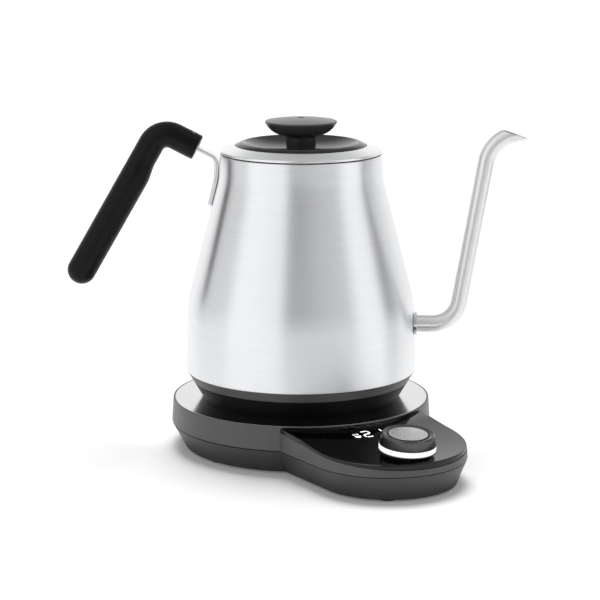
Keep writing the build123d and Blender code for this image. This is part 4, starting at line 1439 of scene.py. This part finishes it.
@dataclass
class Display:
    """Lit marks on the panel: a generic number in seven bars a digit, and a small steaming cup."""

    place: Place
    base: PoweredBase
    text: str = "211"
    first: float = -5.2
    pitch: float = 8.6
    reach: float = 33.6
    width: float = 5.0
    tall: float = 7.7
    bar: float = 1.05
    gap: float = 0.25
    lift: float = 0.03
    icon_x: float = -12.2
    icon_size: float = 0.82
    cup: Point = (2.6, 3.0)
    cup_drop: float = 0.6
    steam: tuple[float, float, float] = (0.5, 3.4, 0.7)
    steam_places: tuple[float, ...] = (-1.6, 0.0, 1.6)
    steam_spread: float = 1.15
    bars: dict[str, str] = field(default_factory=lambda: {"1": "bc", "2": "abged"})

    def laid(self, flat: Array) -> Sheet:
        """Grid of (x, y) laid just over the panel's face."""
        height = self.lift - self.base.hollow(self.base.dial_reach - flat[..., 1])
        return Sheet(np.concatenate([flat, height[..., None]], -1), ring=False)

    def strip(self, start: Sequence[float], end: Sequence[float], wide: float) -> Sheet:
        """Flat bar with pointed ends between two points of the panel.

        Args:
            start: One end.
            end: The other end.
            wide: The bar's width.

        Returns:
            A grid of two rows and four columns.
        """
        first, last = np.array(start, float), np.array(end, float)
        way = unit(last - first)
        side = np.array([-way[1], way[0]]) * wide / 2
        nib = way * wide / 2
        low = np.stack([first, first + nib - side, last - nib - side, last])
        high = np.stack([first, first + nib + side, last - nib + side, last])
        return self.laid(np.stack([low, high]))

    def digit(self, sign: str, middle: float) -> list[Sheet]:
        """Bars of one digit.

        Args:
            sign: The digit.
            middle: Its place along the number.

        Returns:
            One surface for each lit bar.
        """
        left, right = middle - self.width / 2, middle + self.width / 2
        low, half, high = self.reach - self.tall / 2, self.reach, self.reach + self.tall / 2
        gap = self.gap
        ends = {
            "a": ((left + gap, high), (right - gap, high)),
            "b": ((right, high - gap), (right, half + gap)),
            "c": ((right, half - gap), (right, low + gap)),
            "d": ((left + gap, low), (right - gap, low)),
            "e": ((left, low + gap), (left, half - gap)),
            "f": ((left, half + gap), (left, high - gap)),
            "g": ((left + gap, half), (right - gap, half)),
        }
        return [self.strip(*ends[bar], self.bar) for bar in self.bars[sign]]

    def icon(self) -> list[Sheet]:
        """A small cup with lines of steam over it.

        Returns:
            The cup's surface, and one for each line.
        """
        size, x, y = self.icon_size, self.icon_x, self.reach
        half, deep = self.cup
        angle = np.linspace(np.pi, 2 * np.pi, num=25)
        depth = self.cup_drop - deep * np.sin(angle)
        cup = np.stack([x + size * half * np.cos(angle), y - size * depth], -1)
        brim = np.stack([cup[:, 0], np.full(len(angle), y - size * self.cup_drop)], -1)
        low, high, wide = self.steam
        lines = [
            self.strip(
                (x + size * side, y + size * low),
                (x + size * self.steam_spread * side, y + size * high),
                size * wide,
            )
            for side in self.steam_places
        ]
        return [self.laid(np.stack([cup, brim])), *lines]

    def build(self) -> None:
        """Builds the digits and the icon."""
        digits = []
        for index, sign in enumerate(self.text):
            digits += self.digit(sign, self.first + index * self.pitch)
        fit(make_piece("display_digits", digits, self.place, DIGIT), "base", "light")
        fit(make_piece("display_icon", self.icon(), self.place, DIGIT), "base", "light")


# Studio


@dataclass
class Studio:
    """Pale floor, soft light, a tent of white and grey cloth round the steel, and the camera.

    Camera places are millimetres; floor and tent are measured in metres. Azimuths count from the
    camera's side towards the spout.
    """

    place: Place
    camera_spot: tuple[float, float, float] = (114.97, -1321.0, 367.0)
    camera_turn: float = 5.0
    camera_pitch: float = 11.77
    lens: float = 131.22
    sensor: float = 36.0
    view_end: float = 100.0
    near_floor: float = 0.65
    floor_rings: tuple[float, ...] = (2.0, 6.0, 14.0)
    sky: float = 0.35
    sun: float = 2.4
    sun_spread: float = 34.0
    sun_way: tuple[float, float, float] = (0.06, -0.36, -1.0)
    tent_radius: float = 2.6
    tent_columns: int = 241
    tent_side: tuple[float, float, int] = (-30.0, 60.0, 91)
    tent_top: tuple[float, float, int] = (62.0, 90.0, 12)
    tent: tuple[Point, ...] = (
        (-180.0, 1.0), (-140.0, 0.95), (-124.0, 0.68), (-112.0, 0.64), (-102.0, 0.68),
        (-84.0, 0.68), (-72.0, 1.05), (-22.0, 0.9), (-14.0, 0.36), (-4.0, 0.34), (26.0, 0.52),
        (50.0, 0.56), (64.0, 1.0), (88.0, 1.0), (97.0, 0.3), (108.0, 0.3), (116.0, 0.7),
        (140.0, 0.88), (180.0, 1.0),
    )
    roof: tuple[float, float, float] = (26.0, 46.0, 0.5)
    roof_side: tuple[float, float] = (100.0, 140.0)

    def camera(self) -> None:
        """Puts the camera where the photograph was taken from."""
        data = bpy.data.cameras.new("photo_camera")
        data.lens, data.sensor_width = self.lens, self.sensor
        data.dof.use_dof = False
        data.clip_end = self.view_end
        made = bpy.data.objects.new("photo_camera", data)
        bpy.context.scene.collection.objects.link(made)
        turn, pitch = math.radians(self.camera_turn), math.radians(self.camera_pitch)
        level = math.cos(pitch)
        look = Vector((-math.sin(turn) * level, math.cos(turn) * level, -math.sin(pitch)))
        made.location = Vector(self.place.row(np.array(self.camera_spot)))
        made.rotation_euler = look.to_track_quat("-Z", "Y").to_euler()
        bpy.context.scene.camera = made

    def world(self) -> None:
        """White to the camera and to mirror and glass rays, and a softer white as light."""
        world = bpy.data.worlds.new("studio")
        bpy.context.scene.world = world
        nodes = Nodes(world)
        path = nodes.add("ShaderNodeLightPath")
        seen = nodes.add("ShaderNodeMath", operation="MAXIMUM")
        mirrored = nodes.add("ShaderNodeMath", operation="MAXIMUM")
        nodes.join(path.outputs["Is Camera Ray"], seen.inputs[0])
        nodes.join(path.outputs["Is Glossy Ray"], seen.inputs[1])
        nodes.join(seen.outputs[0], mirrored.inputs[0])
        nodes.join(path.outputs["Is Transmission Ray"], mirrored.inputs[1])
        light = nodes.add("ShaderNodeBackground", Color=WHITE, Strength=self.sky)
        shown = nodes.add("ShaderNodeBackground", Color=WHITE, Strength=1.0)
        mix = nodes.add("ShaderNodeMixShader")
        nodes.join(mirrored.outputs[0], mix.inputs[0])
        nodes.join(light.outputs[0], mix.inputs[1])
        nodes.join(shown.outputs[0], mix.inputs[2])
        nodes.finish(mix, "ShaderNodeOutputWorld")

    def floor(self) -> None:
        """Lays the pale floor: mirror rays see its near part, and the tent beyond."""
        near = (0.0, self.near_floor / 2, self.near_floor)
        far = (self.near_floor, *self.floor_rings)
        ground = Place(np.zeros(3), np.eye(3))
        for name, rings in (("floor", near), ("floor_rim", far)):
            profile = np.stack([np.array(rings) / MM, np.zeros(len(rings))], -1)
            made = make_piece(name, [turned(profile, columns=64)], ground, FLOOR)
            made.visible_glossy = name == "floor"

    def shade(self, azimuth: Array, height: Array) -> Array:
        """Grey of the tent: stops along the azimuth, and a roof at the back that darkens upwards.

        Args:
            azimuth: Degrees from the camera's side towards the spout.
            height: Degrees above the floor.

        Returns:
            Grey at each direction.
        """
        stops = np.array(self.tent)
        cloth = np.interp(azimuth, stops[:, 0], stops[:, 1])
        low, high, dark = self.roof
        near, far = self.roof_side
        behind = smooth((np.abs(azimuth) - near) / (far - near))
        roof = behind * smooth((height - low) / (high - low))
        return cloth + roof * (dark - cloth)

    def curtains(self) -> None:
        """Stands a round tent of white and grey cloth over the scene, seen by mirror rays only.

        It is part of a sphere: azimuth a and height h go to R (cos h cos a, cos h sin a, sin h).
        """
        azimuth = np.linspace(-180.0, 180.0, self.tent_columns)[None, :]
        bands = (self.tent_side, self.tent_top)
        height = np.concatenate([np.linspace(*band) for band in bands])[:, None]
        turn = np.radians(azimuth - 90.0 + self.camera_turn)
        rise = np.radians(height)
        flat = np.cos(rise)
        up = np.sin(rise) + 0 * turn
        points = np.stack([flat * np.cos(turn), flat * np.sin(turn), up], -1)
        sheet = Sheet(points * self.tent_radius / MM, ring=False)
        made = make_piece("tent", [sheet], self.place, TENT, merge=False)
        grey = np.repeat(self.shade(azimuth, height).reshape(-1, 1), 4, 1)
        grey[:, 3] = 1.0
        layer = made.data.color_attributes.new(TENT.layer, "FLOAT_COLOR", "POINT")
        layer.data.foreach_set("color", grey.astype(np.float32).ravel())
        made.visible_camera = made.visible_diffuse = made.visible_shadow = False

    def lamps(self) -> None:
        """Hangs a wide soft lamp overhead, a little to the back; mirror rays don't see it."""
        data = bpy.data.lights.new("soft_sun", "SUN")
        data.energy = self.sun
        data.angle = math.radians(self.sun_spread)
        made = bpy.data.objects.new("soft_sun", data)
        made.visible_glossy = False
        made.rotation_euler = Vector(self.sun_way).to_track_quat("-Z", "Y").to_euler()
        bpy.context.scene.collection.objects.link(made)

    def build(self) -> None:
        """Sets up the studio."""
        bpy.context.scene.view_settings.view_transform = "Standard"
        self.camera()
        self.world()
        self.floor()
        self.curtains()
        self.lamps()


def places() -> dict[str, Place]:
    """Frames of the sub-assemblies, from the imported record's joints.

    Returns:
        The kettle's, lobe's and dial's frames.
    """
    joints = {joint["name"]: joint for joint in frame["joints"]}
    x, y, _ = joints["kettle_turn"]["pos_m"]
    dial = np.array(joints["dial_turn"]["pos_m"])
    normal = unit(np.array(joints["dial_turn"]["axis"], float))
    across = unit(np.array([-normal[1], normal[0], 0.0]))
    upright = np.array([0.0, 0.0, 1.0])
    flat = np.stack([across, np.cross(upright, across), upright])
    tilted = np.stack([across, np.cross(normal, across), normal])
    axis = np.array([x, y, 0.0])
    return {
        "kettle": Place(axis, np.eye(3)),
        "lobe": Place(axis + MM * PoweredBase.lobe_offset * across, flat),
        "dial": Place(dial, tilted),
    }


def dress_frame() -> None:
    """Gives every CAD node that is still shown the finish of its material slot."""
    slots = {part["node"]: part["material_slot"] for part in frame["record"]["subparts"]}
    for name, node in frame["nodes"].items():
        node.data.materials.clear()
        finish = OWN_FINISH.get(name, SLOTS[slots[name]])
        node.data.materials.append(finish.material())
        log.info("frame node %s: %s", name, finish.name)


def main() -> None:
    """Builds the object, then the studio."""
    logging.basicConfig(level=logging.INFO, format="%(message)s")
    spots = places()
    dress_frame()
    base = PoweredBase(spots["kettle"], spots["lobe"], spots["dial"])
    assemblies = (
        KettleBody(spots["kettle"]),
        Lid(spots["kettle"]),
        Spout(spots["kettle"]),
        Handle(spots["kettle"]),
        base,
        Dial(spots["dial"]),
        Display(spots["dial"], base),
        Studio(spots["kettle"]),
    )
    for assembly in assemblies:
        assembly.build()
        log.info("%s is built", type(assembly).__name__)


if __name__ == "__main__":
    main()
